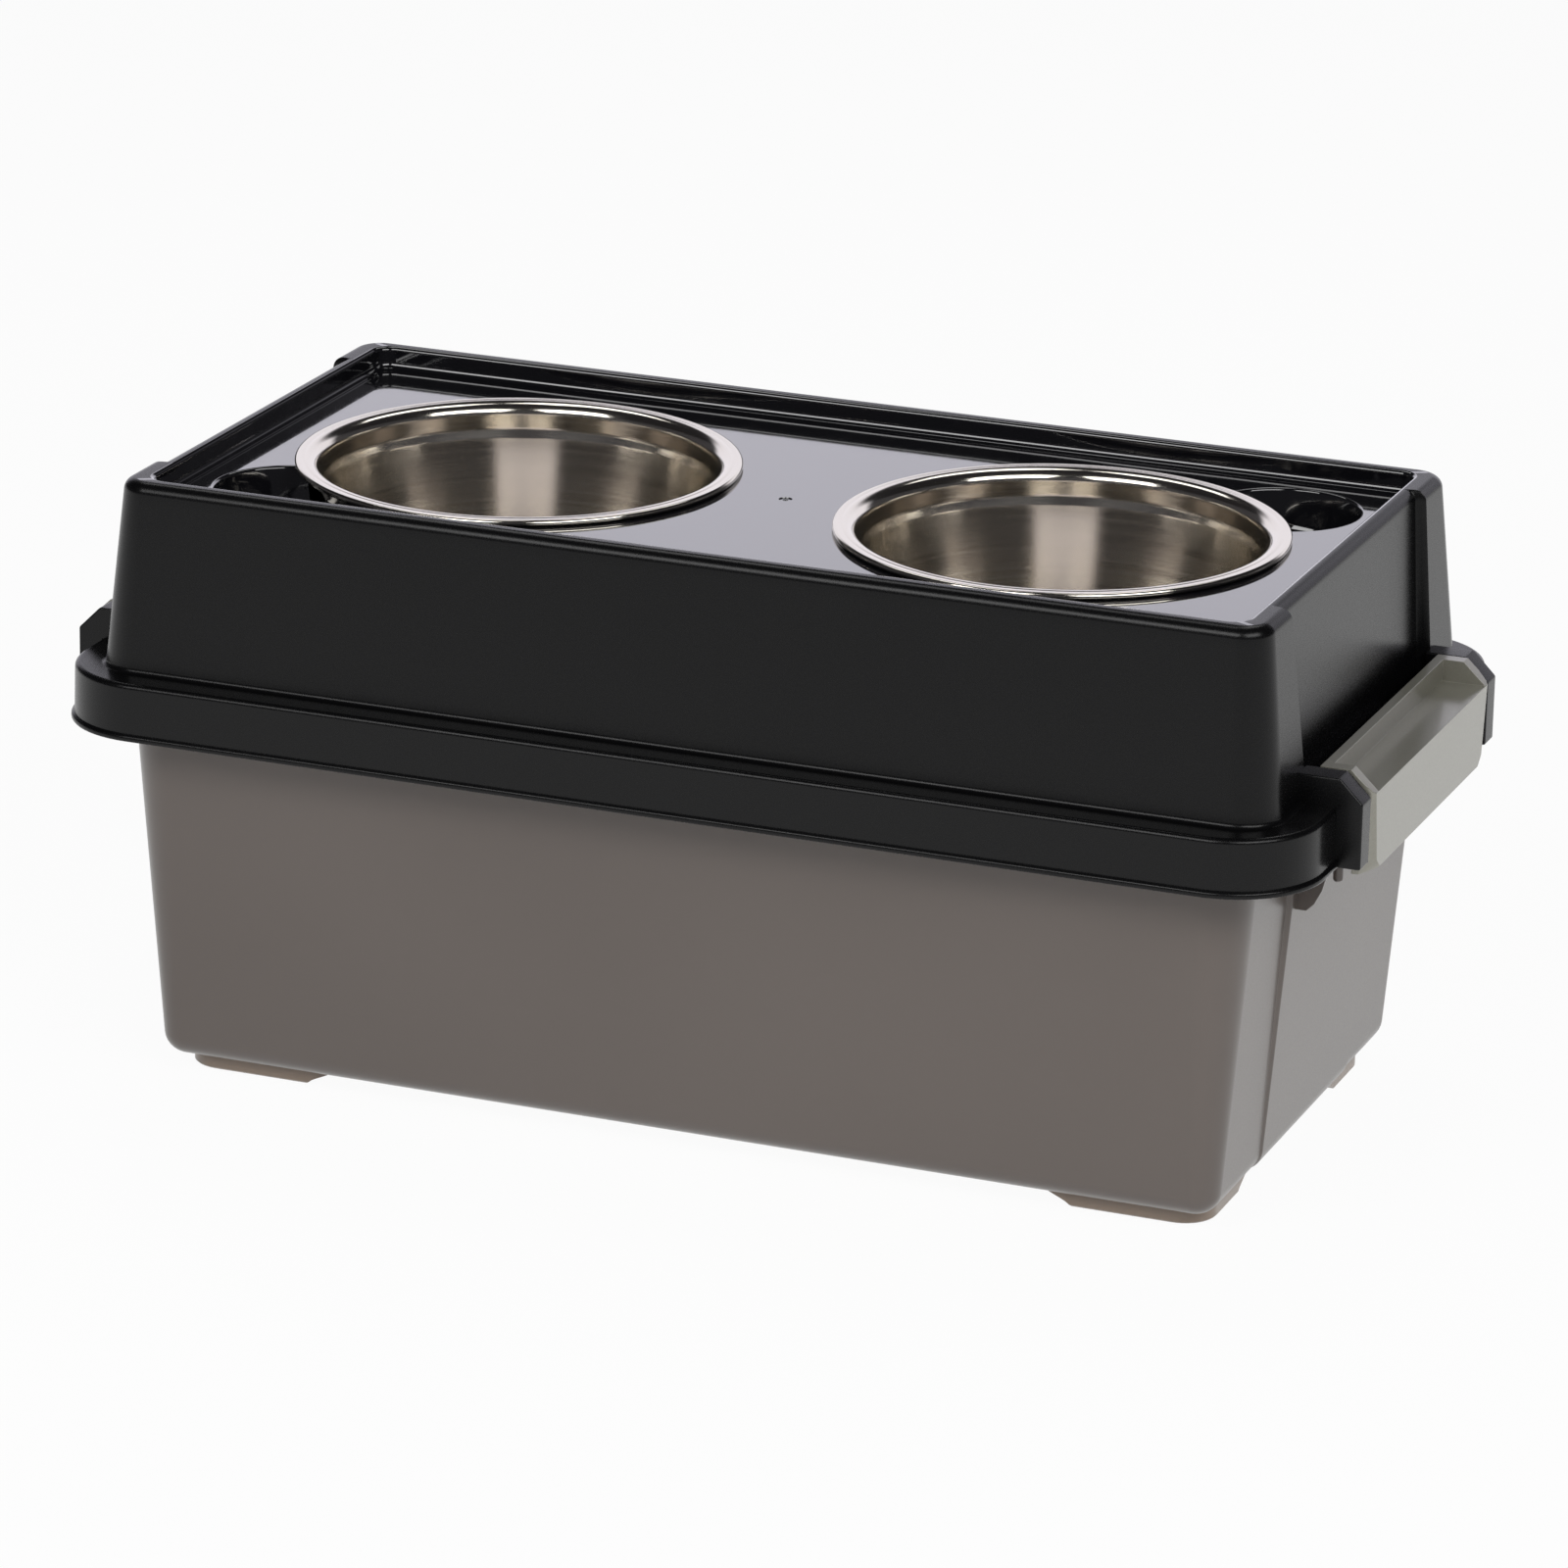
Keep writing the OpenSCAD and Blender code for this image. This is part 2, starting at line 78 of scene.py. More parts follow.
# %% Colour and node helpers
def srgb(code):
    """Linear colour from an sRGB hex value such as 8c8a82."""
    parts = [int(code[i:i + 2], 16) / 255 for i in (0, 2, 4)]
    return [p / 12.92 if p <= 0.04045 else ((p + 0.055) / 1.055) ** 2.4 for p in parts] + [1]


def node(tree, kind, inputs=None, **settings):
    """Adds one node: settings are its own fields, and inputs are values or sockets to link."""
    made = tree.nodes.new(kind)
    for field, value in settings.items():
        setattr(made, field, value)
    for socket, value in (inputs or {}).items():
        if isinstance(value, bpy.types.NodeSocket):
            tree.links.new(value, made.inputs[socket])
        else:
            made.inputs[socket].default_value = value
    return made


def new_material(name, colour, roughness, metallic=0.0, **fixed):
    """Principled material; returns it with its tree, its shader and object coordinates."""
    material = bpy.data.materials.new(name)
    material.use_nodes = True
    material.diffuse_color = srgb(colour)
    tree = material.node_tree
    shader = tree.nodes["Principled BSDF"]
    shader.inputs["Base Color"].default_value = srgb(colour)
    shader.inputs["Roughness"].default_value = roughness
    shader.inputs["Metallic"].default_value = metallic
    for socket, value in fixed.items():
        shader.inputs[socket.replace("_", " ")].default_value = value
    where = node(tree, "ShaderNodeTexCoord").outputs["Object"]
    return material, tree, shader, where


print("a paint chart's mid grey 808080 is", round(srgb("808080")[0], 3), "in linear light")

# %% [markdown]
# ### Smoky polypropylene of the bin
# Polypropylene tinted a smoky taupe. It is moulded in a finely etched tool, so it is satin,
# with a milky depth. The hollow feet are single walls with the white ground behind them, so
# more light comes through them. That light is painted into the colour, which turns paler and
# browner towards the ground. The etched grain is about 0.2 mm, too fine for this view, so it
# is drawn at about 0.8 mm. Most of a noise pattern's values lie between 0.3 and 0.7, so that
# span is stretched to the range wanted.
# The IOR is polypropylene's, 1.49, and a faint coat stands for the skin of the moulding.

# %% Bin plastic
NOISE_SPAN = {"From Min": 0.3, "From Max": 0.7}
# Heights in metres over which the painted light through the feet fades out
FOOT_LIGHT_FADE = {"From Min": 0.004, "From Max": 0.010, "To Min": 1.0, "To Max": 0.0}
bin_plastic, tree, shader, where = new_material(
    "smoky_polypropylene", "675e58", 0.33, IOR=1.49, Coat_Weight=0.35, Coat_Roughness=0.3)
grain = node(tree, "ShaderNodeTexNoise", {"Vector": where, "Scale": 1250.0, "Detail": 2.0})
flow = node(tree, "ShaderNodeTexNoise", {"Vector": where, "Scale": 5.0, "Detail": 1.0})
drift = node(tree, "ShaderNodeMapRange", {**NOISE_SPAN, "Value": flow.outputs["Fac"]})
tub = node(tree, "ShaderNodeMix", {
    "Factor": drift.outputs["Result"], "A": srgb("635a54"), "B": srgb("6a615b")},
    data_type="RGBA")
# Painted light: below 10 mm the colour turns paler and browner, standing in for light shining
# through the thin feet
height = node(tree, "ShaderNodeSeparateXYZ", {"Vector": where})
painted_foot_light = node(tree, "ShaderNodeMapRange", {**FOOT_LIGHT_FADE, "Value": height.outputs["Z"]})
colour = node(tree, "ShaderNodeMix", {
    "Factor": painted_foot_light.outputs["Result"], "A": tub.outputs["Result"], "B": srgb("a39181")},
    data_type="RGBA")
tree.links.new(colour.outputs["Result"], shader.inputs["Base Color"])
satin = node(tree, "ShaderNodeMapRange", {
    **NOISE_SPAN, "Value": grain.outputs["Fac"], "To Min": 0.29, "To Max": 0.37})
tree.links.new(satin.outputs["Result"], shader.inputs["Roughness"])
bump = node(tree, "ShaderNodeBump", {
    "Height": grain.outputs["Fac"], "Strength": 0.08, "Distance": 0.0002})
tree.links.new(bump.outputs["Normal"], shader.inputs["Normal"])
print(bin_plastic.name, "has", len(tree.nodes), "nodes")

# %% [markdown]
# ### Black polypropylene of the lid
# The lid is solid black polypropylene. Its outer walls come from a finely etched tool and are
# satin: they stay dark and shine only at a low angle. The grain is drawn as on the bin.

# %% Satin plastic of the lid
lid_plastic, tree, shader, where = new_material(
    "satin_black_polypropylene", "0b0b0c", 0.26, IOR=1.5, Specular_IOR_Level=0.25)
grain = node(tree, "ShaderNodeTexNoise", {"Vector": where, "Scale": 1250.0, "Detail": 2.0})
satin = node(tree, "ShaderNodeMapRange", {
    **NOISE_SPAN, "Value": grain.outputs["Fac"], "To Min": 0.23, "To Max": 0.30})
tree.links.new(satin.outputs["Result"], shader.inputs["Roughness"])
bump = node(tree, "ShaderNodeBump", {
    "Height": grain.outputs["Fac"], "Strength": 0.02, "Distance": 0.0002})
tree.links.new(bump.outputs["Normal"], shader.inputs["Normal"])
print(lid_plastic.name, "has", len(tree.nodes), "nodes")

# %% [markdown]
# ### Polished plastic of the tray
# The tray and the wells are the same plastic from a polished tool. They are nearly a mirror,
# with long, faint waves of polish about 8 mm apart.

# %% Polished plastic of the tray
tray_plastic, tree, shader, where = new_material(
    "polished_black_polypropylene", "101013", 0.07, IOR=1.5, Coat_Weight=1.0, Coat_Roughness=0.04)
waves = node(tree, "ShaderNodeTexNoise", {"Vector": where, "Scale": 120.0, "Detail": 1.0})
polish = node(tree, "ShaderNodeMapRange", {
    **NOISE_SPAN, "Value": waves.outputs["Fac"], "To Min": 0.05, "To Max": 0.10})
tree.links.new(polish.outputs["Result"], shader.inputs["Roughness"])
bump = node(tree, "ShaderNodeBump", {
    "Height": waves.outputs["Fac"], "Strength": 0.04, "Distance": 0.0003})
tree.links.new(bump.outputs["Normal"], shader.inputs["Normal"])
print(tray_plastic.name, "has", len(tree.nodes), "nodes")

# %% [markdown]
# ### Foam rubber of the seal
# A strip of black foam rubber, matt and dusty, with cells of about half a millimetre.

# %% Seal rubber
seal_rubber, tree, shader, where = new_material("black_foam_rubber", "1c1c1e", 0.85, IOR=1.45)
cells = node(tree, "ShaderNodeTexVoronoi", {"Vector": where, "Scale": 1800.0})
bump = node(tree, "ShaderNodeBump", {
    "Height": cells.outputs["Distance"], "Strength": 0.5, "Distance": 0.0002})
tree.links.new(bump.outputs["Normal"], shader.inputs["Normal"])
dusty = node(tree, "ShaderNodeMapRange", {
    "Value": cells.outputs["Distance"], "From Min": 0.0, "From Max": 0.6,
    "To Min": 0.75, "To Max": 0.95})
tree.links.new(dusty.outputs["Result"], shader.inputs["Roughness"])
print(seal_rubber.name, "has", len(tree.nodes), "nodes")

# %% [markdown]
# ### Spun stainless steel of the bowls
# The bowls are pressed from stainless sheet and polished while they spin, which leaves fine
# rings round the axis. They blur a reflection up and down but keep it sharp sideways, hence
# the upright streaks. The rings are under 0.1 mm apart and are drawn about 1.4 mm apart.
# A noise pattern read by radius and height, and hardly by angle, is drawn out into rings.

# %% Steel for one bowl
AROUND = 0.0006


def spun_steel(name, centre_x):
    material, tree, shader, where = new_material(
        name, "dad4ca", 0.14, metallic=1.0, Anisotropic=0.5, Anisotropic_Rotation=0.25)
    around = node(tree, "ShaderNodeTangent", direction_type="RADIAL", axis="Z")
    tree.links.new(around.outputs["Tangent"], shader.inputs["Tangent"])
    shift = node(tree, "ShaderNodeMapping", {"Vector": where, "Location": (-centre_x, 0, 0)})
    axes = node(tree, "ShaderNodeSeparateXYZ", {"Vector": shift.outputs["Vector"]})
    flat = node(tree, "ShaderNodeCombineXYZ", {"X": axes.outputs["X"], "Y": axes.outputs["Y"]})
    radius = node(tree, "ShaderNodeVectorMath", {0: flat.outputs["Vector"]}, operation="LENGTH")
    angle = node(tree, "ShaderNodeMath", {0: axes.outputs["Y"], 1: axes.outputs["X"]},
                 operation="ARCTAN2")
    slow = node(tree, "ShaderNodeMath", {0: angle.outputs["Value"], 1: AROUND},
                operation="MULTIPLY")
    rings = node(tree, "ShaderNodeCombineXYZ", {
        "X": radius.outputs["Value"], "Y": slow.outputs["Value"], "Z": axes.outputs["Z"]})
    brushed = node(tree, "ShaderNodeTexNoise", {
        "Vector": rings.outputs["Vector"], "Scale": 700.0, "Detail": 1.0})
    polish = node(tree, "ShaderNodeMapRange", {
        **NOISE_SPAN, "Value": brushed.outputs["Fac"], "To Min": 0.11, "To Max": 0.16})
    tree.links.new(polish.outputs["Result"], shader.inputs["Roughness"])
    print(name, "has", len(tree.nodes), "nodes")
    return material


# %% [markdown]
# ### Pearl polypropylene of the latches
# The latches are polypropylene coloured with a fine metallic flake, a warm grey that is
# lighter where it faces the light. The tool is polished, so a clear skin lies over the flakes
# and gives bright edges. The flakes are about 0.1 mm and are drawn at 0.6 mm.

# %% Latch plastic
latch_plastic, tree, shader, where = new_material(
    "pearl_polypropylene", "928f84", 0.3, metallic=0.35, IOR=1.49, Coat_Weight=0.45,
    Coat_Roughness=0.14)
flakes = node(tree, "ShaderNodeTexVoronoi", {"Vector": where, "Scale": 1700.0})
flake = node(tree, "ShaderNodeSeparateColor", {"Color": flakes.outputs["Color"]})
colour = node(tree, "ShaderNodeMix", {
    "Factor": flake.outputs["Red"], "A": srgb("8f8d82"), "B": srgb("959388")},
    data_type="RGBA")
tree.links.new(colour.outputs["Result"], shader.inputs["Base Color"])
sheen = node(tree, "ShaderNodeMapRange", {
    "Value": flake.outputs["Green"], "To Min": 0.28, "To Max": 0.32})
tree.links.new(sheen.outputs["Result"], shader.inputs["Roughness"])
print(latch_plastic.name, "has", len(tree.nodes), "nodes")

# %% [markdown]
# ## Sizes and rounded rectangles
# Sizes are written in millimetres, as on a drawing, and turned to metres when a mesh is made.
# Moulded parts are mostly rounded rectangles stacked in height, so one function gives a
# rounded rectangle and another skins a stack of them. An end side can stand out or be set
# back over its middle, which is how the bin's raised pad and the lid's recessed panel are made.

# %% Rounded rectangle
MM = 0.001
CORNER_STEPS, EDGE_STEPS = 16, 5
LEAST_RADIUS = 1.5


def ease(t):
    return t * t * (3 - 2 * t)


def arc(steps, start=0.0, end=90.0):
    """Cosine and sine pairs along an arc."""
    angles = [math.radians(start + (end - start) * i / steps) for i in range(steps + 1)]
    return [(math.cos(a), math.sin(a)) for a in angles]


def rounded_rectangle(half_x, half_y, radius, step=0.0, step_half=60.0, blend=1.6):
    """Points in order round a rectangle; its end sides stand out by step where |y| < step_half."""
    def end_side(sign):
        lower = [(half_x + step * ease(i / (EDGE_STEPS - 1)),
                  -step_half - blend * (1 - i / (EDGE_STEPS - 1))) for i in range(EDGE_STEPS)]
        side = lower + [(x, -y) for x, y in reversed(lower)]
        return [(sign * x, sign * y) for x, y in side]

    def corner(sx, sy, start):
        return [(sx * (half_x - radius) + radius * c, sy * (half_y - radius) + radius * s)
                for c, s in arc(CORNER_STEPS, start, start + 90)]

    return (end_side(1) + corner(1, 1, 0) + corner(-1, 1, 90)
            + end_side(-1) + corner(-1, -1, 180) + corner(1, -1, 270))


print("a rounded rectangle has", len(rounded_rectangle(10, 10, 2)), "points")

# %% Skin through a stack of loops
def new_object(name, bm):
    """Object at the origin from a bmesh in millimetres."""
    bmesh.ops.scale(bm, vec=(MM, MM, MM), verts=bm.verts)
    mesh = bpy.data.meshes.new(name)
    bm.to_mesh(mesh)
    bm.free()
    obj = bpy.data.objects.new(name, mesh)
    bpy.context.scene.collection.objects.link(obj)
    return obj


def skin(name, loops, heights, closed=False):
    """Mesh through loops of equal length; the two ends are capped, or joined where closed."""
    bm = bmesh.new()
    rows = [[bm.verts.new((x, y, z)) for x, y in loop] for loop, z in zip(loops, heights)]
    pairs = list(zip(rows, rows[1:] + rows[:1] if closed else rows[1:]))
    for low, high in pairs:
        for i in range(len(low)):
            j = (i + 1) % len(low)
            bm.faces.new((low[i], low[j], high[j], high[i]))
    if not closed:
        bm.faces.new(list(reversed(rows[0])))
        bm.faces.new(rows[-1])
    bmesh.ops.remove_doubles(bm, verts=bm.verts, dist=1e-4)
    bmesh.ops.recalc_face_normals(bm, faces=bm.faces)
    return new_object(name, bm)


def stack(name, rings, closed=False):
    """Skin through rings of (height, half_x, half_y, radius, step, step_half, blend)."""
    loops = [rounded_rectangle(*ring[1:]) for ring in rings]
    return skin(name, loops, [ring[0] for ring in rings], closed)


print("sizes in millimetres are scaled by", MM)

# %% [markdown]
# ## Storage bin
# The bin is one injection moulding: a tub with sloping walls, a stepped rim for the lid, a
# raised pad on each end wall, hollow corner feet and a few ribs under the rim at the ends.
# A tub could be a block with a pocket cut out. It is made as one skin that runs from under
# the floor, up the outside, over the rim and down the inside, so that the wall has its real
# thickness and every edge its own rounding. The pads stand out more towards the top.

# %% Sizes and rings of the bin
FLOOR, LEDGE, RIM = 8.1, 175.3, 190.3
BIN_HALF, BIN_RADIUS, BIN_WALL = (270.5, 143.3), 24.0, 2.4
RIM_HALF, RIM_RADIUS = (291.6, 156.8), 36.2
DRAFT = math.tan(math.radians(4.3))
FLOOR_ROUND, INNER_ROUND = 10.0, 9
PAD_LOW, PAD_HIGH = 1, 3
PAD_HALF, PAD_WIDENS, PAD_EDGE = 63, 7, 2.5


def bin_ring(z, inset=0.0, pad=True):
    """Ring of the tub's wall at one height, with or without the pads."""
    fall = (LEDGE - z) * DRAFT + inset
    rise = (z - FLOOR - FLOOR_ROUND) / (LEDGE - FLOOR - FLOOR_ROUND)
    growth = PAD_HIGH - PAD_LOW if rise > 0 else PAD_LOW
    step = PAD_LOW + growth * rise if pad else 0.0
    return (z, BIN_HALF[0] - fall, BIN_HALF[1] - fall, max(BIN_RADIUS - fall, LEAST_RADIUS),
            step, PAD_HALF + PAD_WIDENS * (z - FLOOR) / (RIM - FLOOR), PAD_EDGE)


def rim_ring(z, inset=0.0):
    """Ring of the rim, with as many points as a ring of the wall."""
    return (z, RIM_HALF[0] - inset, RIM_HALF[1] - inset, RIM_RADIUS - inset,
            0.0, PAD_HALF + PAD_WIDENS, PAD_EDGE)


print("the bin narrows by", round((LEDGE - FLOOR) * DRAFT, 1), "mm a side towards its floor")

# %% Skin of the tub
outside = [bin_ring(FLOOR + FLOOR_ROUND * (1 - s), FLOOR_ROUND * (1 - c))
           for c, s in reversed(arc(8))]
outside += [bin_ring(z) for z in (60, 110, 150, LEDGE - 2.0, LEDGE - 0.8)]
outside += [bin_ring(LEDGE - 0.2, -0.6), bin_ring(LEDGE, -2.0)]
outside += [rim_ring(LEDGE, 0.8), rim_ring(LEDGE + 0.25, 0.25), rim_ring(LEDGE + 0.8)]
outside += [rim_ring(RIM - 0.8), rim_ring(RIM - 0.25, 0.25), rim_ring(RIM, 0.8)]
inside = [rim_ring(RIM, BIN_WALL - 0.6), rim_ring(RIM - 0.6, BIN_WALL)]
inside += [rim_ring(LEDGE + 3.5, BIN_WALL), rim_ring(LEDGE + 2.5, BIN_WALL + 1)]
inside += [bin_ring(LEDGE + 2.5, BIN_WALL - 2, False), bin_ring(LEDGE + 1.5, BIN_WALL, False)]
inside += [bin_ring(z, BIN_WALL, False) for z in (150, 110, 60)]
inside += [bin_ring(FLOOR + BIN_WALL + INNER_ROUND * (1 - s), BIN_WALL + INNER_ROUND * (1 - c),
                    False) for c, s in arc(6)]
storage_bin = stack("storage_bin_shell", outside + inside)
print("tub:", len(outside + inside), "rings and", len(storage_bin.data.polygons), "faces")

# %% [markdown]
# The feet are L-shaped and hollow from inside. A foot could be a bevelled block, but its two
# free ends slope softly into the floor. So each is a skin through the same L at several
# heights, whose free ends slide outwards on the way up. Exact booleans then add the feet to
# the tub and cut their hollows, because on the real bin they are one moulding.

# %% Plain meshes and booleans
def mesh_of(obj):
    """Plain mesh of an object with its modifiers worked in."""
    bpy.context.view_layer.update()
    view = bpy.context.evaluated_depsgraph_get()
    return bpy.data.meshes.new_from_object(obj.evaluated_get(view))


def bake(obj):
    """Turns an object's modifiers into its own plain mesh."""
    mesh = mesh_of(obj)
    obj.modifiers.clear()
    obj.data = mesh
    return obj


def combine(obj, others, operation):
    """Exact boolean of obj with each of the others, which are used up."""
    for other in others:
        modifier = obj.modifiers.new("cut", "BOOLEAN")
        modifier.object, modifier.operation, modifier.solver = other, operation, "EXACT"
        modifier.material_mode = "TRANSFER"
        bake(obj)
        bpy.data.objects.remove(other)
    return obj


print("the tub's floor stands", FLOOR, "mm above the ground")

# %% Corner feet
TOE_HALF, TOE_RADIUS, LEG = (251.4, 117.7), 16.0, 13.0
FOOT_LONG, FOOT_SHORT, RAMP, RAMP_STEPS = 64.0, 46.0, 12.5, 6
CORNERS = [(sx, sy) for sx in (-1, 1) for sy in (-1, 1)]


def foot_loop(inset, slide, radius):
    """L outline in the +X +Y corner: its free ends are moved out by slide."""
    x, y = TOE_HALF[0] - inset, TOE_HALF[1] - inset
    leg = LEG - 2 * inset
    end_x, end_y = x - FOOT_LONG + 2 * inset - slide, y - FOOT_SHORT + 2 * inset - slide
    outer = [(x - radius + radius * c, y - radius + radius * s) for c, s in arc(10)]
    inner = [(end_x, y), (end_x, y - leg), (x - leg, y - leg), (x - leg, end_y)]
    return [(x, end_y)] + outer + inner


def foot(sx, sy, inset, low, high, soft):
    """A foot, or its hollow where inset; soft is the rounding of its lowest edge."""
    ramp = [low + soft + (FLOOR - soft) * i / RAMP_STEPS for i in range(RAMP_STEPS + 1)]
    heights = [low] + ramp + [high]
    loops = []
    for k, z in enumerate(heights):
        slide = RAMP * ease(min(max((z - low) / FLOOR, 0), 1))
        extra = soft if k == 0 else 0.0
        loops.append([(sx * px, sy * py) for px, py in
                      foot_loop(inset + extra, slide, TOE_RADIUS - inset - extra)])
    return skin("foot", loops, heights)


feet = [foot(sx, sy, 0.0, 0.0, FLOOR + 1.6, 0.8) for sx, sy in CORNERS]
combine(storage_bin, feet, "UNION")
hollows = [foot(sx, sy, BIN_WALL, BIN_WALL, FLOOR + 6.0, 0.6) for sx, sy in CORNERS]
combine(storage_bin, hollows, "DIFFERENCE")
print("bin with its feet:", len(storage_bin.data.polygons), "faces")

# %% [markdown]
# Under the rim at each end stand two gussets, each with a round nub on its outer edge. A
# gusset is a flat outline stretched to its thickness, and the nub a section spun about its
# axis, so two more functions make such shapes.

# %% Stretched and turned shapes
def prism(name, profile, low, high, bevel=0.0):
    """Profile in X and Z, stretched along Y from low to high, with its edges rounded by bevel."""
    bm = bmesh.new()
    near = [bm.verts.new((x, low, z)) for x, z in profile]
    far = [bm.verts.new((x, high, z)) for x, z in profile]
    bm.faces.new(near)
    bm.faces.new(list(reversed(far)))
    for i in range(len(near)):
        j = (i + 1) % len(near)
        bm.faces.new((near[j], near[i], far[i], far[j]))
    bmesh.ops.recalc_face_normals(bm, faces=bm.faces)
    if bevel:
        bmesh.ops.bevel(bm, geom=bm.edges[:], offset=bevel, segments=3, profile=0.5, affect="EDGES")
    return new_object(name, bm)


def spin(name, profile, centre=(0.0, 0.0), steps=96):
    """Solid turned about an upright axis from (radius, height) points, bottom to top."""
    bm = bmesh.new()
    rows = []
    for radius, z in profile:
        if radius < 1e-6:
            rows.append([bm.verts.new((centre[0], centre[1], z))])
            continue
        rows.append([bm.verts.new((centre[0] + radius * math.cos(math.tau * i / steps),
                                   centre[1] + radius * math.sin(math.tau * i / steps), z))
                     for i in range(steps)])
    for low, high in zip(rows, rows[1:]):
        for i in range(steps):
            j = (i + 1) % steps
            ring = [low[i % len(low)], low[j % len(low)], high[j % len(high)], high[i % len(high)]]
            corners = list(dict.fromkeys(ring))
            if len(corners) > 2:
                bm.faces.new(corners)
    bmesh.ops.recalc_face_normals(bm, faces=bm.faces)
    return new_object(name, bm)


def join(obj, others):
    """Puts the others' faces into obj's mesh."""
    bm = bmesh.new()
    bm.from_mesh(obj.data)
    for other in others:
        bm.from_mesh(other.data)
        bpy.data.objects.remove(other)
    bm.to_mesh(obj.data)
    bm.free()
    return obj


print("a turned shape of 96 steps has one every", 360 / 96, "degrees")

# %% One gusset and its nub
RIB_Y, RIB = 62.0, 2.5
edge_x = RIM_HALF[0]
rib_outline = [(269.3, LEDGE + 1), (edge_x - 0.5, LEDGE + 1), (edge_x - 0.5, LEDGE - 13),
               (edge_x - 7, LEDGE - 20), (edge_x - 9.7, LEDGE - 30),
               (edge_x - 13, LEDGE - 36.5), (edge_x - 16.5, LEDGE - 40), (266.3, LEDGE - 40)]
gusset = prism("end_gussets", rib_outline, -RIB / 2, RIB / 2, bevel=0.35)
nub_profile = [(0.0, LEDGE - 24.5), (1.5, LEDGE - 24.3), (2.1, LEDGE - 23.7),
               (2.3, LEDGE - 22.8), (2.3, LEDGE + 1), (0.0, LEDGE + 1)]
join(gusset, [spin("nub", nub_profile, (edge_x - 2.8, 0.0), 32)])
print("gusset and nub:", len(gusset.data.polygons), "faces")

# %% [markdown]
# All four gussets are the same, so a Geometry Nodes tree sets them out: two on a short line
# across the end, and the same pair again, turned half round, for the other end. Copies made
# by hand would do, but the tree keeps their spacing as one named input. The instances are
# realized, because the pieces must be plain meshes in the end.

# %% Tree that sets the gussets out
ribs_tree = bpy.data.node_groups.new("set_out_end_ribs", "GeometryNodeTree")
ribs_tree.is_modifier = True
for label, kind in (("Rib", "NodeSocketGeometry"), ("Spacing", "NodeSocketFloat"),
                    ("Finish", "NodeSocketMaterial")):
    ribs_tree.interface.new_socket(label, in_out="INPUT", socket_type=kind)
ribs_tree.interface.new_socket("Ribs", in_out="OUTPUT", socket_type="NodeSocketGeometry")
given = node(ribs_tree, "NodeGroupInput")
half = node(ribs_tree, "ShaderNodeMath", {0: given.outputs["Spacing"], 1: -0.5},
            operation="MULTIPLY")
start = node(ribs_tree, "ShaderNodeCombineXYZ", {"Y": half.outputs["Value"]})
apart = node(ribs_tree, "ShaderNodeCombineXYZ", {"Y": given.outputs["Spacing"]})
line = node(ribs_tree, "GeometryNodeMeshLine", {
    "Count": 2, "Start Location": start.outputs["Vector"], "Offset": apart.outputs["Vector"]})
pair = node(ribs_tree, "GeometryNodeInstanceOnPoints", {
    "Points": line.outputs["Mesh"], "Instance": given.outputs["Rib"]})
turned = node(ribs_tree, "GeometryNodeTransform", {
    "Geometry": pair.outputs["Instances"], "Rotation": (0, 0, math.pi)})
both = node(ribs_tree, "GeometryNodeJoinGeometry", {"Geometry": pair.outputs["Instances"]})
ribs_tree.links.new(turned.outputs["Geometry"], both.inputs["Geometry"])
real = node(ribs_tree, "GeometryNodeRealizeInstances", {"Geometry": both.outputs["Geometry"]})
painted = node(ribs_tree, "GeometryNodeSetMaterial", {
    "Geometry": real.outputs["Geometry"], "Material": given.outputs["Finish"]})
node(ribs_tree, "NodeGroupOutput", {"Ribs": painted.outputs["Geometry"]})
print(ribs_tree.name, "has", len(ribs_tree.nodes), "nodes")

# %% Set the gussets out
def run_tree(obj, tree, **values):
    """Adds a Geometry Nodes modifier, sets its named inputs and turns the result to a mesh."""
    modifier = obj.modifiers.new(tree.name, "NODES")
    modifier.node_group = tree
    names = {item.name: item.identifier for item in tree.interface.items_tree
             if item.item_type == "SOCKET" and item.in_out == "INPUT"}
    for name, value in values.items():
        modifier[names[name.replace("_", " ")]] = value
    return bake(obj)


run_tree(gusset, ribs_tree, Spacing=2 * RIB_Y * MM, Finish=bin_plastic)
print("four gussets:", len(gusset.data.polygons), "faces")

# %% [markdown]
# A bar across each end, under the rim, is what a latch hooks under. With the bars the bin is
# whole. Every finished piece then gets smooth shading with creases, one material or more,
# the body that it rides on and the solid that it stands for.

# %% Finish of a piece, and of the bin
BAR_HALF, BAR_LOW, BAR_DEPTH = 58, 170.5, 4
FLAT_WEIGHT = 90


def paint(obj, material):
    """Gives every face of a piece one material."""
    obj.data.materials.clear()
    obj.data.materials.append(material)
    for polygon in obj.data.polygons:
        polygon.material_index = 0
    return obj


def finish_piece(obj, body, *nodes, slot, angle=32):
    """Smooth shading with creases, a body to ride on and the solids that the piece stands for."""
    for polygon in obj.data.polygons:
        polygon.use_smooth = True
    obj.data.set_sharp_from_angle(angle=math.radians(angle))
    modifier = obj.modifiers.new("flat faces stay flat", "WEIGHTED_NORMAL")
    modifier.keep_sharp, modifier.weight = True, FLAT_WEIGHT
    bake(obj)
    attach(obj, body)
    if nodes:
        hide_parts(*nodes)
    size = [round(d * 1000, 1) for d in obj.dimensions]
    print(f"{obj.name}: {size} mm, {len(obj.data.polygons)} faces")


bar_profile = [(edge_x - BAR_DEPTH, BAR_LOW), (edge_x, BAR_LOW), (edge_x, LEDGE + 1),
               (edge_x - BAR_DEPTH, LEDGE + 1)]
bars = [prism("catch_bar", [(side * x, z) for x, z in bar_profile], -BAR_HALF, BAR_HALF,
              bevel=0.5) for side in (1, -1)]
join(storage_bin, [gusset] + bars)
paint(storage_bin, bin_plastic)
finish_piece(storage_bin, "storage_bin", "storage_bin", slot="bin")

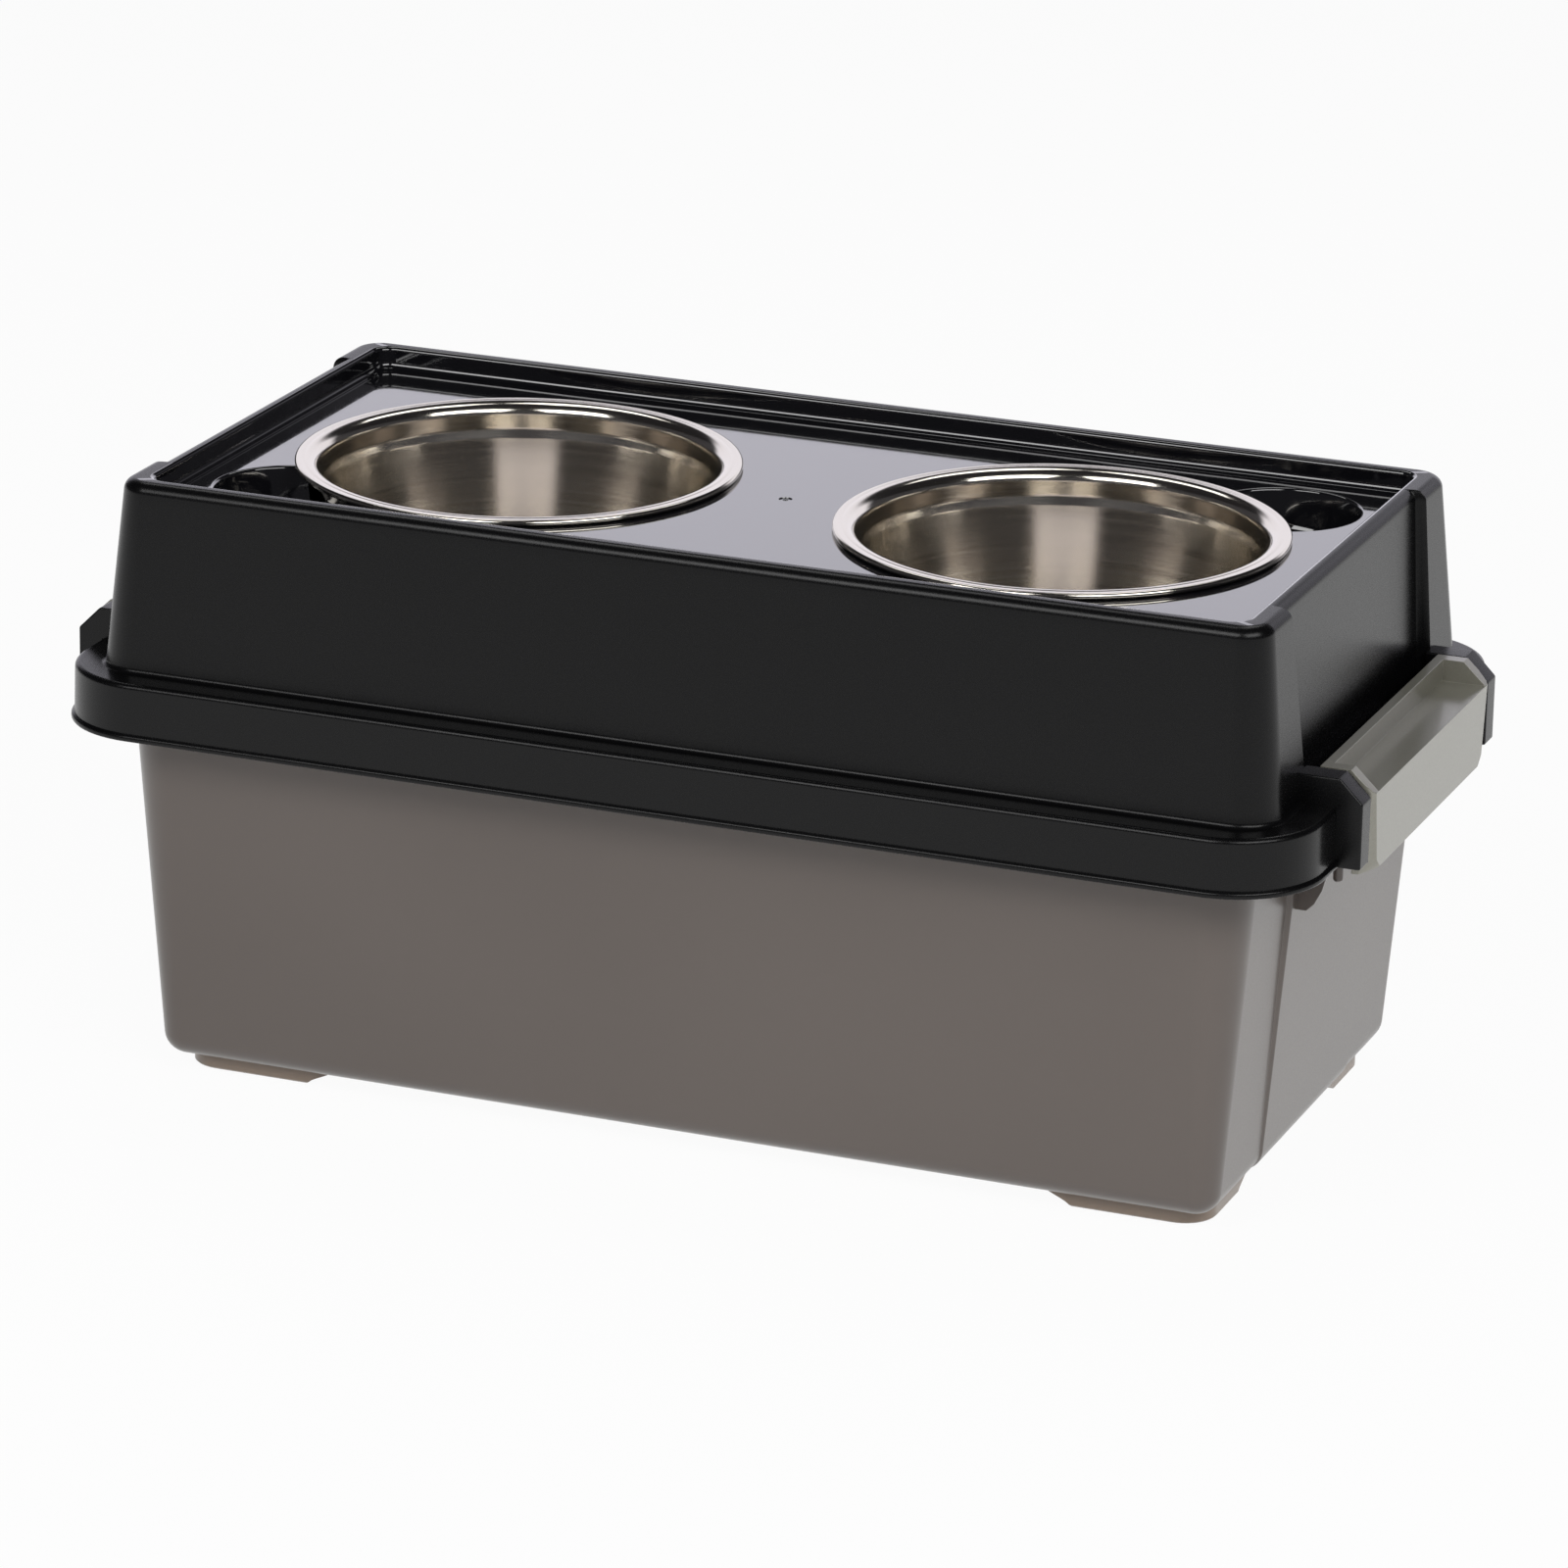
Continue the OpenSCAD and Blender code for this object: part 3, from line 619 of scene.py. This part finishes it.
# %% [markdown]
# ## Lid
# The lid is one black moulding. Its skirt drops over the bin's rim, a raised block stands on
# the skirt's shelf, and the block's top is a shallow tray. One skin again runs all the way:
# from under the tray, down inside, round the skirt's bead, up the outside and into the tray.
# The block's end panels are set back and lean a little less than its corners do.

# %% Sizes and rings of the lid
SKIRT_HALF, SKIRT_RADIUS = (300.6, 164.5), 44.0
SKIRT_Z, SHELF_UNDER, SHELF, TOP, DECK = 171.5, 195.5, 198.3, 285.7, 275.0
BLOCK_H, LID_WALL, BEAD = TOP - SHELF, 2.8, 1.6
BLOCK_HALF, BLOCK_RADIUS, TOP_RADIUS = (274.0, 137.0), 20, 14
END_TAN, SIDE_TAN = (math.tan(math.radians(a)) for a in (5.5, 6.0))
PANEL_X, PANEL_LEAN = 269.3, 6.5
PANEL_HALF, PANEL_WIDENS, PANEL_EDGE = 92.7, 6, 1.4
TRAY_HALF, TRAY_RADIUS, TRAY_WALL, TRAY_SEAM = (261.5, 127.2), 8.0, 2.3, 98.0


def block_ring(z, inset=0.0, at=None):
    """Ring of the raised block at height z, with the outline that it has at height at."""
    h = (z if at is None else at) - SHELF
    half_x = BLOCK_HALF[0] + (BLOCK_H - h) * END_TAN
    half_y = BLOCK_HALF[1] + (BLOCK_H - h) * SIDE_TAN
    radius = BLOCK_RADIUS - (BLOCK_RADIUS - TOP_RADIUS) * min(max(h, 0) / BLOCK_H, 1)
    panel = PANEL_X + PANEL_LEAN * (1 - h / BLOCK_H)
    return (z, half_x - inset, half_y - inset, max(radius - inset, LEAST_RADIUS),
            panel - half_x, PANEL_HALF + PANEL_WIDENS * h / BLOCK_H, PANEL_EDGE)


def skirt_ring(z, inset=0.0):
    return (z, SKIRT_HALF[0] - inset, SKIRT_HALF[1] - inset, SKIRT_RADIUS - inset,
            0.0, PANEL_HALF, PANEL_EDGE)


def tray_ring(z, inset=0.0):
    return (z, TRAY_HALF[0] - inset, TRAY_HALF[1] - inset, TRAY_RADIUS - inset,
            0.0, TRAY_SEAM, PANEL_EDGE)


print("the tray is", round(TOP - DECK, 1), "mm deep in a block", round(BLOCK_H, 1), "mm high")

# %% Skin of the lid
BEAD_SHAPE = [(0.0, 0.9), (0.15, 0.35), (0.6, 0.05), (1.2, 0.0), (2.0, 0.05), (2.6, 0.4),
              (3.0, 1.0), (3.6, 1.5), (4.6, BEAD)]
SKIRT_LEAN, SKIRT_ROUND, FOOT_FILLET, TOP_ROUND = 0.4, 2.6, 2.4, 5.0
TRAY_LIP, TRAY_FILLET = 2.1, 3.5
skirt_in = BEAD + LID_WALL
under = [tray_ring(DECK - LID_WALL, -TRAY_WALL), tray_ring(TOP - LID_WALL, -TRAY_WALL),
         block_ring(TOP - LID_WALL, LID_WALL), block_ring(240, LID_WALL),
         block_ring(SHELF_UNDER, LID_WALL, SHELF), skirt_ring(SHELF_UNDER, skirt_in),
         skirt_ring(SKIRT_Z + 0.4, skirt_in), skirt_ring(SKIRT_Z, skirt_in - 0.4)]
bead = [skirt_ring(SKIRT_Z + rise, inset) for rise, inset in BEAD_SHAPE]
skirt = [skirt_ring(SHELF - SKIRT_ROUND * (1 - s), BEAD + SKIRT_LEAN + SKIRT_ROUND * (1 - c))
         for c, s in arc(6)]
shelf = [block_ring(SHELF + FOOT_FILLET * (1 - c), -FOOT_FILLET * (1 - s), SHELF + 1)
         for c, s in arc(5)]
walls = [block_ring(z) for z in (SHELF + 6, 220, 240, 260, 276)]
rim_top = [block_ring(TOP - TOP_ROUND * (1 - s), TOP_ROUND * (1 - c)) for c, s in arc(8)]
tray = [tray_ring(TOP - TRAY_LIP * (1 - c), -TRAY_LIP * (1 - s)) for c, s in arc(4)]
tray += [tray_ring(DECK + TRAY_FILLET * (1 - s), TRAY_FILLET * (1 - c)) for c, s in arc(6)]
lid_rings = under + bead + skirt + shelf + walls + rim_top + tray
lid = paint(stack("lid_shell", lid_rings), lid_plastic)
lid.data.materials.append(tray_plastic)
for polygon in lid.data.polygons:
    x, y, z = (c / MM for c in polygon.center)
    in_tray = abs(x) < TRAY_HALF[0] + TRAY_LIP and abs(y) < TRAY_HALF[1] + TRAY_LIP
    if in_tray and z > DECK - 0.1:
        polygon.material_index = 1
print("lid:", len(lid_rings), "rings and", len(lid.data.polygons), "faces")

# %% [markdown]
# Each bowl hangs in a closed cup, the well, with a finger pocket at its edge. Turned solids
# add the cups under the tray and then hollow them out. The hollowing shapes flare where they
# meet the tray, so each mouth gets the rounded lip of a moulded edge. A section is written
# as its sharp corners, each with the radius of its fillet, and one function rounds them.

# %% Rounded section
def rounded_profile(points, steps=6):
    """Polyline with a fillet at each point that has a third value, its radius."""
    out = []
    for i, point in enumerate(points):
        if len(point) < 3 or i in (0, len(points) - 1):
            out.append(Vector(point[:2]))
            continue
        here, radius = Vector(point[:2]), point[2]
        before = (Vector(points[i - 1][:2]) - here).normalized()
        after = (Vector(points[i + 1][:2]) - here).normalized()
        half = before.angle(after) / 2
        reach = radius / math.tan(half)
        middle = here + (before + after).normalized() * radius / math.sin(half)
        first, last = here + before * reach - middle, here + after * reach - middle
        swing = first.angle_signed(last)
        for k in range(steps + 1):
            a = -swing * k / steps
            out.append(middle + Vector((first.x * math.cos(a) - first.y * math.sin(a),
                                        first.x * math.sin(a) + first.y * math.cos(a))))
    return [tuple(p) for p in out]


print("one fillet has", len(rounded_profile([(0, 0), (9, 0, 2), (9, 9)])) - 2, "points")

# %% Wells and finger pockets
BOWL_X, WELL_RADIUS, WELL_FLOOR = 133.5, 98.5, 199.2
POCKET_OFF, POCKET_RADIUS, POCKET_FLOOR = (80.1, 79.7), 34.5, 251.0
LIP = 1.5


def lip(radius):
    """Last points of a hollowing profile: a rounded edge where it leaves the tray."""
    return [(radius + LIP * (1 - c), DECK - LIP * (1 - s)) for c, s in arc(5)] + [
        (radius + LIP, DECK + 3), (0.0, DECK + 3)]


def well(x, grow):
    low = WELL_FLOOR - grow
    profile = rounded_profile([
        (0.0, low), (WELL_RADIUS - 12 + grow, low, 10.0), (WELL_RADIUS - 5 + grow, low + 18, 20.0),
        (WELL_RADIUS + grow, DECK - LIP)])
    profile += lip(WELL_RADIUS) if grow == 0 else [(0.0, DECK - LIP)]
    return spin("well", profile, (x, 0.0), 128)


def pocket(x, y, grow):
    low = POCKET_FLOOR - grow
    profile = rounded_profile([
        (0.0, low), (POCKET_RADIUS - 6 + grow, low, 12.0), (POCKET_RADIUS + grow, DECK - LIP)], 10)
    profile += lip(POCKET_RADIUS) if grow == 0 else [(0.0, DECK - LIP - 0.2)]
    return spin("pocket", profile, (x, y), 96)


places = [(s * BOWL_X, s * (BOWL_X + POCKET_OFF[0]), s * POCKET_OFF[1]) for s in (-1, 1)]
for grow, operation in ((LID_WALL, "UNION"), (0.0, "DIFFERENCE")):
    for x, pocket_x, pocket_y in places:
        shapes = [well(x, grow), pocket(pocket_x, pocket_y, grow)]
        combine(lid, [paint(shape, tray_plastic) for shape in shapes], operation)
print("lid with its wells:", len(lid.data.polygons), "faces")

# %% [markdown]
# Plastic enters the mould in the middle of the deck. It leaves a round dimple, the gate mark.

# %% Gate mark
GATE_Y = -1.7
gate_profile = [(0.0, DECK - 0.2), (1.0, DECK - 0.25), (1.4, DECK - 0.5), (2.9, DECK - 0.5),
                (3.3, DECK + 0.3), (0.0, DECK + 0.3)]
gate = spin("gate_mark", gate_profile, (0, GATE_Y), 48)
combine(lid, [paint(gate, tray_plastic)], "DIFFERENCE")
print("lid with its gate mark:", len(lid.data.polygons), "faces")

# %% [markdown]
# Four ears stand out past the skirt and carry the latches between them. Their shape is the
# same all along their width, so they are stretched profiles with rounded edges, hollow from
# below as on the real moulding. A thin rib under the shelf keeps the lid in place inside the
# bin's rim. It follows the same rounded rectangle as the rim, so it is one more stack.

# %% Ears and locating rib
EAR_IN, EAR, EAR_WALL = 89.6, 13.0, 2.5
EAR_TOP, EAR_OUT, EAR_BEVEL = 14.1, 310.6, 10.8
HOLLOW_IN, HOLLOW_TOP = 301.2, 193.0
RIB_SHAPE = [(186.5, 5.4), (187.0, 5.6), (196.0, 5.6), (196.0, 3.6), (187.0, 3.6), (186.5, 3.8)]
ear_root = BLOCK_HALF[0] + (BLOCK_H - EAR_TOP) * END_TAN - 1
skirt_root = SKIRT_HALF[0] - BEAD - 1
hollow_out = EAR_OUT - EAR_WALL
ear_profile = [(ear_root, SHELF - 1), (ear_root, SHELF + EAR_TOP),
               (EAR_OUT - EAR_BEVEL, SHELF + EAR_TOP), (EAR_OUT, SHELF + EAR_TOP - EAR_BEVEL),
               (EAR_OUT, SKIRT_Z), (skirt_root, SKIRT_Z), (skirt_root, SHELF - 1)]
hollow_profile = [(HOLLOW_IN, SKIRT_Z - 1), (HOLLOW_IN, HOLLOW_TOP), (hollow_out, HOLLOW_TOP),
                  (hollow_out, SKIRT_Z - 1)]
ears = []
for sx, sy in CORNERS:
    low, high = sorted((sy * EAR_IN, sy * (EAR_IN + EAR)))
    ear = prism("ear", [(sx * x, z) for x, z in ear_profile], low, high, bevel=0.9)
    hollow = prism("hollow", [(sx * x, z) for x, z in hollow_profile], low + EAR_WALL,
                   high - EAR_WALL)
    ears.append(paint(combine(ear, [hollow], "DIFFERENCE"), lid_plastic))
rib_rings = [(z, RIM_HALF[0] - inset, RIM_HALF[1] - inset, RIM_RADIUS - inset)
             for z, inset in RIB_SHAPE]
rib = paint(stack("locating_rib", rib_rings, closed=True), lid_plastic)
join(lid, ears + [rib])
finish_piece(lid, "lid", "lid", slot="lid")

# %% [markdown]
# ## Seal
# A strip of foam rubber follows the rim all the way round, under the lid's shelf. A strip
# with one section on a path is just what Curve to Mesh does, so the path is a rectangle with
# rounded corners and the section a smaller rounded rectangle.

# %% Tree that lays the seal
seal_tree = bpy.data.node_groups.new("seal_on_its_path", "GeometryNodeTree")
seal_tree.is_modifier = True
for label, kind in (("Start", "NodeSocketGeometry"), ("Length", "NodeSocketFloat"),
                    ("Width", "NodeSocketFloat"), ("Corner", "NodeSocketFloat"),
                    ("Strip Width", "NodeSocketFloat"), ("Strip Height", "NodeSocketFloat"),
                    ("Middle Height", "NodeSocketFloat"), ("Finish", "NodeSocketMaterial")):
    seal_tree.interface.new_socket(label, in_out="INPUT", socket_type=kind)
seal_tree.interface.new_socket("Seal", in_out="OUTPUT", socket_type="NodeSocketGeometry")
given = node(seal_tree, "NodeGroupInput")
path = node(seal_tree, "GeometryNodeCurvePrimitiveQuadrilateral", {
    "Width": given.outputs["Length"], "Height": given.outputs["Width"]})
path_round = node(seal_tree, "GeometryNodeFilletCurve", {
    "Curve": path.outputs["Curve"], "Radius": given.outputs["Corner"], "Count": 20}, mode="POLY")
section = node(seal_tree, "GeometryNodeCurvePrimitiveQuadrilateral", {
    "Width": given.outputs["Strip Width"], "Height": given.outputs["Strip Height"]})
section_round = node(seal_tree, "GeometryNodeFilletCurve", {
    "Curve": section.outputs["Curve"], "Radius": 0.0012, "Count": 4}, mode="POLY")
strip = node(seal_tree, "GeometryNodeCurveToMesh", {
    "Curve": path_round.outputs["Curve"], "Profile Curve": section_round.outputs["Curve"]})
lift = node(seal_tree, "ShaderNodeCombineXYZ", {"Z": given.outputs["Middle Height"]})
raised = node(seal_tree, "GeometryNodeTransform", {
    "Geometry": strip.outputs["Mesh"], "Translation": lift.outputs["Vector"]})
real = node(seal_tree, "GeometryNodeRealizeInstances", {"Geometry": raised.outputs["Geometry"]})
painted = node(seal_tree, "GeometryNodeSetMaterial", {
    "Geometry": real.outputs["Geometry"], "Material": given.outputs["Finish"]})
node(seal_tree, "NodeGroupOutput", {"Seal": painted.outputs["Geometry"]})
print(seal_tree.name, "has", len(seal_tree.nodes), "nodes")

# %% Seal on the rim
SEAL_WIDTH, SEAL_HEIGHT, SEAL_GAP = 4, 5, 0.2
seal = new_object("lid_seal_strip", bmesh.new())
middle = BIN_WALL / 2
run_tree(seal, seal_tree, Length=2 * (RIM_HALF[0] - middle) * MM,
         Width=2 * (RIM_HALF[1] - middle) * MM, Corner=(RIM_RADIUS - middle) * MM,
         Strip_Width=SEAL_WIDTH * MM, Strip_Height=SEAL_HEIGHT * MM,
         Middle_Height=(RIM + SEAL_GAP + SEAL_HEIGHT / 2) * MM, Finish=seal_rubber)
finish_piece(seal, "lid", "lid_seal", slot="seal")

# %% [markdown]
# ## Bowls
# Each bowl is pressed from 0.9 mm steel sheet. Under the flat rim is a short upright band, a
# small shoulder, a sloping side and a flat bottom. The sheet's edge is rolled under, and the
# roll shows as a bead round the rim. A Screw modifier could turn the section about its axis.
# The same function as for the wells does it here, because it closes the poles by itself.

# %% Section of a bowl
BOWL_RADIUS, BOWL_H, ROLL, RIM_FLAT, SHEET = 104.0, 76.0, 1.5, 7.4, 0.9
RIM_GAP, THROAT_STEP = 0.2, 1.2
BOWL_TOP = DECK + RIM_GAP + 2 * ROLL
BOWL_BASE = BOWL_TOP - BOWL_H
THROAT = BOWL_RADIUS - 2 * ROLL - RIM_FLAT - THROAT_STEP
BOTTOM, KNEE, SHOULDER = 76.6, 85.0, 92.2
KNEE_UP, SHOULDER_DOWN, BAND_DOWN = 12, 16.8, 12.6
GROOVE = BOWL_RADIUS - 2 * ROLL - 1


def bowl_section():
    """Radius and height from the middle of the underside, round the rolled edge and back."""
    under = rounded_profile([
        (0.0, BOWL_BASE), (BOTTOM, BOWL_BASE, 11.0), (KNEE, BOWL_BASE + KNEE_UP, 30.0),
        (SHOULDER, BOWL_TOP - SHOULDER_DOWN, 8.0), (THROAT + SHEET, BOWL_TOP - BAND_DOWN, 8.0),
        (THROAT + SHEET, BOWL_TOP - SHEET, 5.0),
        (BOWL_RADIUS - 2 * ROLL - 0.2, BOWL_TOP - SHEET)])
    roll = [(BOWL_RADIUS - ROLL + ROLL * math.cos(math.radians(a)),
             BOWL_TOP - ROLL + ROLL * math.sin(math.radians(a))) for a in range(145, 451, 15)]
    top = rounded_profile([
        (BOWL_RADIUS - ROLL, BOWL_TOP), (GROOVE + 0.7, BOWL_TOP), (GROOVE, BOWL_TOP - 0.25),
        (GROOVE - 0.7, BOWL_TOP), (THROAT, BOWL_TOP, 6.0),
        (THROAT, BOWL_TOP - BAND_DOWN + 0.2, 9.0),
        (SHOULDER - SHEET, BOWL_TOP - SHOULDER_DOWN + 0.2, 9.0),
        (KNEE - SHEET, BOWL_BASE + KNEE_UP + 0.4, 30.0), (BOTTOM - 0.8, BOWL_BASE + SHEET, 10.0),
        (0.0, BOWL_BASE + SHEET)], 10)
    return under + roll + top[1:]


for name, x in (("left_bowl", -BOWL_X), ("right_bowl", BOWL_X)):
    bowl = paint(spin(name + "_spun", bowl_section(), (x, 0.0), 160),
                 spun_steel("spun_steel_" + name, x * MM))
    finish_piece(bowl, name, name, slot="bowl", angle=40)

# %% [markdown]
# ## Latches
# A latch is a grip with a finger scoop on top, a plate down the outside of the skirt, a hook
# that turns in under the bin's rim and a pin at each end. It could be drawn again, but the
# solid already has all of these and only lacks the soft edges of a moulding. So its mesh is
# copied, its loose triangles are merged and its edges are rounded by a Bevel modifier.

# %% Latches from the solids
LATCH_ROUND = 1.0


def rounded_copy(name, solid, width):
    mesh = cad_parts[solid].data.copy()
    bm = bmesh.new()
    bm.from_mesh(mesh)
    bmesh.ops.remove_doubles(bm, verts=bm.verts, dist=1e-6)
    bmesh.ops.dissolve_limit(bm, angle_limit=math.radians(0.6), verts=bm.verts, edges=bm.edges)
    obj = new_object(name, bm)
    obj.data.transform(Matrix.Scale(1 / MM, 4))
    modifier = obj.modifiers.new("rounded edges", "BEVEL")
    modifier.width, modifier.segments, modifier.angle_limit = width * MM, 3, math.radians(25)
    modifier.limit_method, modifier.use_clamp_overlap = "ANGLE", True
    return bake(obj)


for name in ("left_latch", "right_latch"):
    latch = paint(rounded_copy(name + "_grip", name, LATCH_ROUND), latch_plastic)
    finish_piece(latch, name, name, slot="latch", angle=50)

# %% [markdown]
# ## Studio
# The photograph was taken on pure white. The world is white to the camera, but in
# reflections it is a bright backdrop only low behind the feeder, and nearly black above and
# around: the polished tray mirrors the backdrop and the bowls mirror the dark ceiling. The
# backdrop's edges are soft. Its height is the sine of the angle above level, and its sides
# are how squarely a direction faces it.

# %% World
BACKDROP_FACES, BACKDROP_GLOW, SIDES_GLOW, LEAST_GLOW = (-0.26, 0.97, 0.0), 1.15, 0.06, 0.02
BACKDROP_TOP = {"From Min": 0.37, "From Max": 0.46, "To Min": 1.0, "To Max": 0.0}
BACKDROP_SIDES = {"From Min": 0.74, "From Max": 0.82, "To Min": SIDES_GLOW,
                  "To Max": BACKDROP_GLOW}
world = bpy.data.worlds.new("white_studio")
bpy.context.scene.world = world
world.use_nodes = True
tree = world.node_tree
direction = node(tree, "ShaderNodeTexCoord").outputs["Generated"]
height = node(tree, "ShaderNodeSeparateXYZ", {"Vector": direction})
low = node(tree, "ShaderNodeMapRange", {**BACKDROP_TOP, "Value": height.outputs["Z"]})
facing = node(tree, "ShaderNodeVectorMath", {0: direction, 1: BACKDROP_FACES},
              operation="DOT_PRODUCT")
behind = node(tree, "ShaderNodeMapRange", {**BACKDROP_SIDES, "Value": facing.outputs["Value"]})
backdrop = node(tree, "ShaderNodeMath", {
    0: low.outputs["Result"], 1: behind.outputs["Result"]}, operation="MULTIPLY")
dim = node(tree, "ShaderNodeMath", {0: backdrop.outputs["Value"], 1: LEAST_GLOW},
           operation="MAXIMUM")
to_camera = node(tree, "ShaderNodeLightPath").outputs["Is Camera Ray"]
strength = node(tree, "ShaderNodeMath", {0: dim.outputs["Value"], 1: to_camera},
                operation="MAXIMUM")
tint = node(tree, "ShaderNodeMix", {
    "Factor": to_camera, "A": srgb("f6f4ff"), "B": srgb("ffffff")}, data_type="RGBA")
tree.links.new(strength.outputs["Value"], tree.nodes["Background"].inputs["Strength"])
tree.links.new(tint.outputs["Result"], tree.nodes["Background"].inputs["Color"])
print(world.name, "has", len(tree.nodes), "nodes")

# %% [markdown]
# The floor glows white to the camera and in reflections. A small share of it stays an
# ordinary white floor, and that share takes the feeder's shadow.

# %% Floor
FLOOR_GLOW = 0.95
bm = bmesh.new()
bmesh.ops.create_grid(bm, x_segments=1, y_segments=1, size=30000)
floor = new_object("studio_floor", bm)
floor_paint, tree, shader, where = new_material("white_floor", "f4f4f4", 0.9)
white = node(tree, "ShaderNodeEmission", {"Color": srgb("ffffff"), "Strength": 1.0})
rays = node(tree, "ShaderNodeLightPath")
first = node(tree, "ShaderNodeMath", {
    0: rays.outputs["Is Camera Ray"], 1: rays.outputs["Is Glossy Ray"]}, operation="MAXIMUM")
seen = node(tree, "ShaderNodeMath", {
    0: first.outputs["Value"], 1: rays.outputs["Is Transmission Ray"]}, operation="MAXIMUM")
share = node(tree, "ShaderNodeMath", {0: seen.outputs["Value"], 1: FLOOR_GLOW},
             operation="MULTIPLY")
mix = node(tree, "ShaderNodeMixShader", {
    0: share.outputs["Value"], 1: shader.outputs["BSDF"], 2: white.outputs["Emission"]})
tree.links.new(mix.outputs["Shader"], tree.nodes["Material Output"].inputs["Surface"])
floor.data.materials.append(floor_paint)
print(floor.name, "is", round(floor.dimensions.x), "m wide")

# %% [markdown]
# Two large softboxes stand to the left and right of the camera and light the walls. Two narrow
# ones hang above the feeder and give the white patches at the throats of the bowls.

# %% Lamps
def softbox(name, place, target, width, height, watts):
    lamp = bpy.data.lights.new(name, "AREA")
    lamp.shape, lamp.size, lamp.size_y, lamp.energy = "RECTANGLE", width, height, watts
    obj = bpy.data.objects.new(name, lamp)
    bpy.context.scene.collection.objects.link(obj)
    aim = (Vector(target) - Vector(place)).to_track_quat("-Z", "Y")
    obj.matrix_world = Matrix.Translation(place) @ aim.to_matrix().to_4x4()
    return obj


BIN_MIDDLE, LID_MIDDLE = (0, 0, 0.2), (0, 0, 0.3)
for name, place, target, width, height, watts in (
        ("softbox_left_of_camera", (-0.63, -2.34, 1.96), BIN_MIDDLE, 1.9, 1.1, 33),
        ("softbox_right_of_camera", (1.96, -1.43, 1.96), BIN_MIDDLE, 2.3, 1.1, 40),
        ("softbox_above_left", (-0.83, 0.75, 2.2), LID_MIDDLE, 0.5, 1.3, 5),
        ("softbox_above_right", (0.10, 1.11, 2.2), LID_MIDDLE, 0.5, 1.3, 5)):
    softbox(name, place, target, width, height, watts)
    print(name, watts, "W")
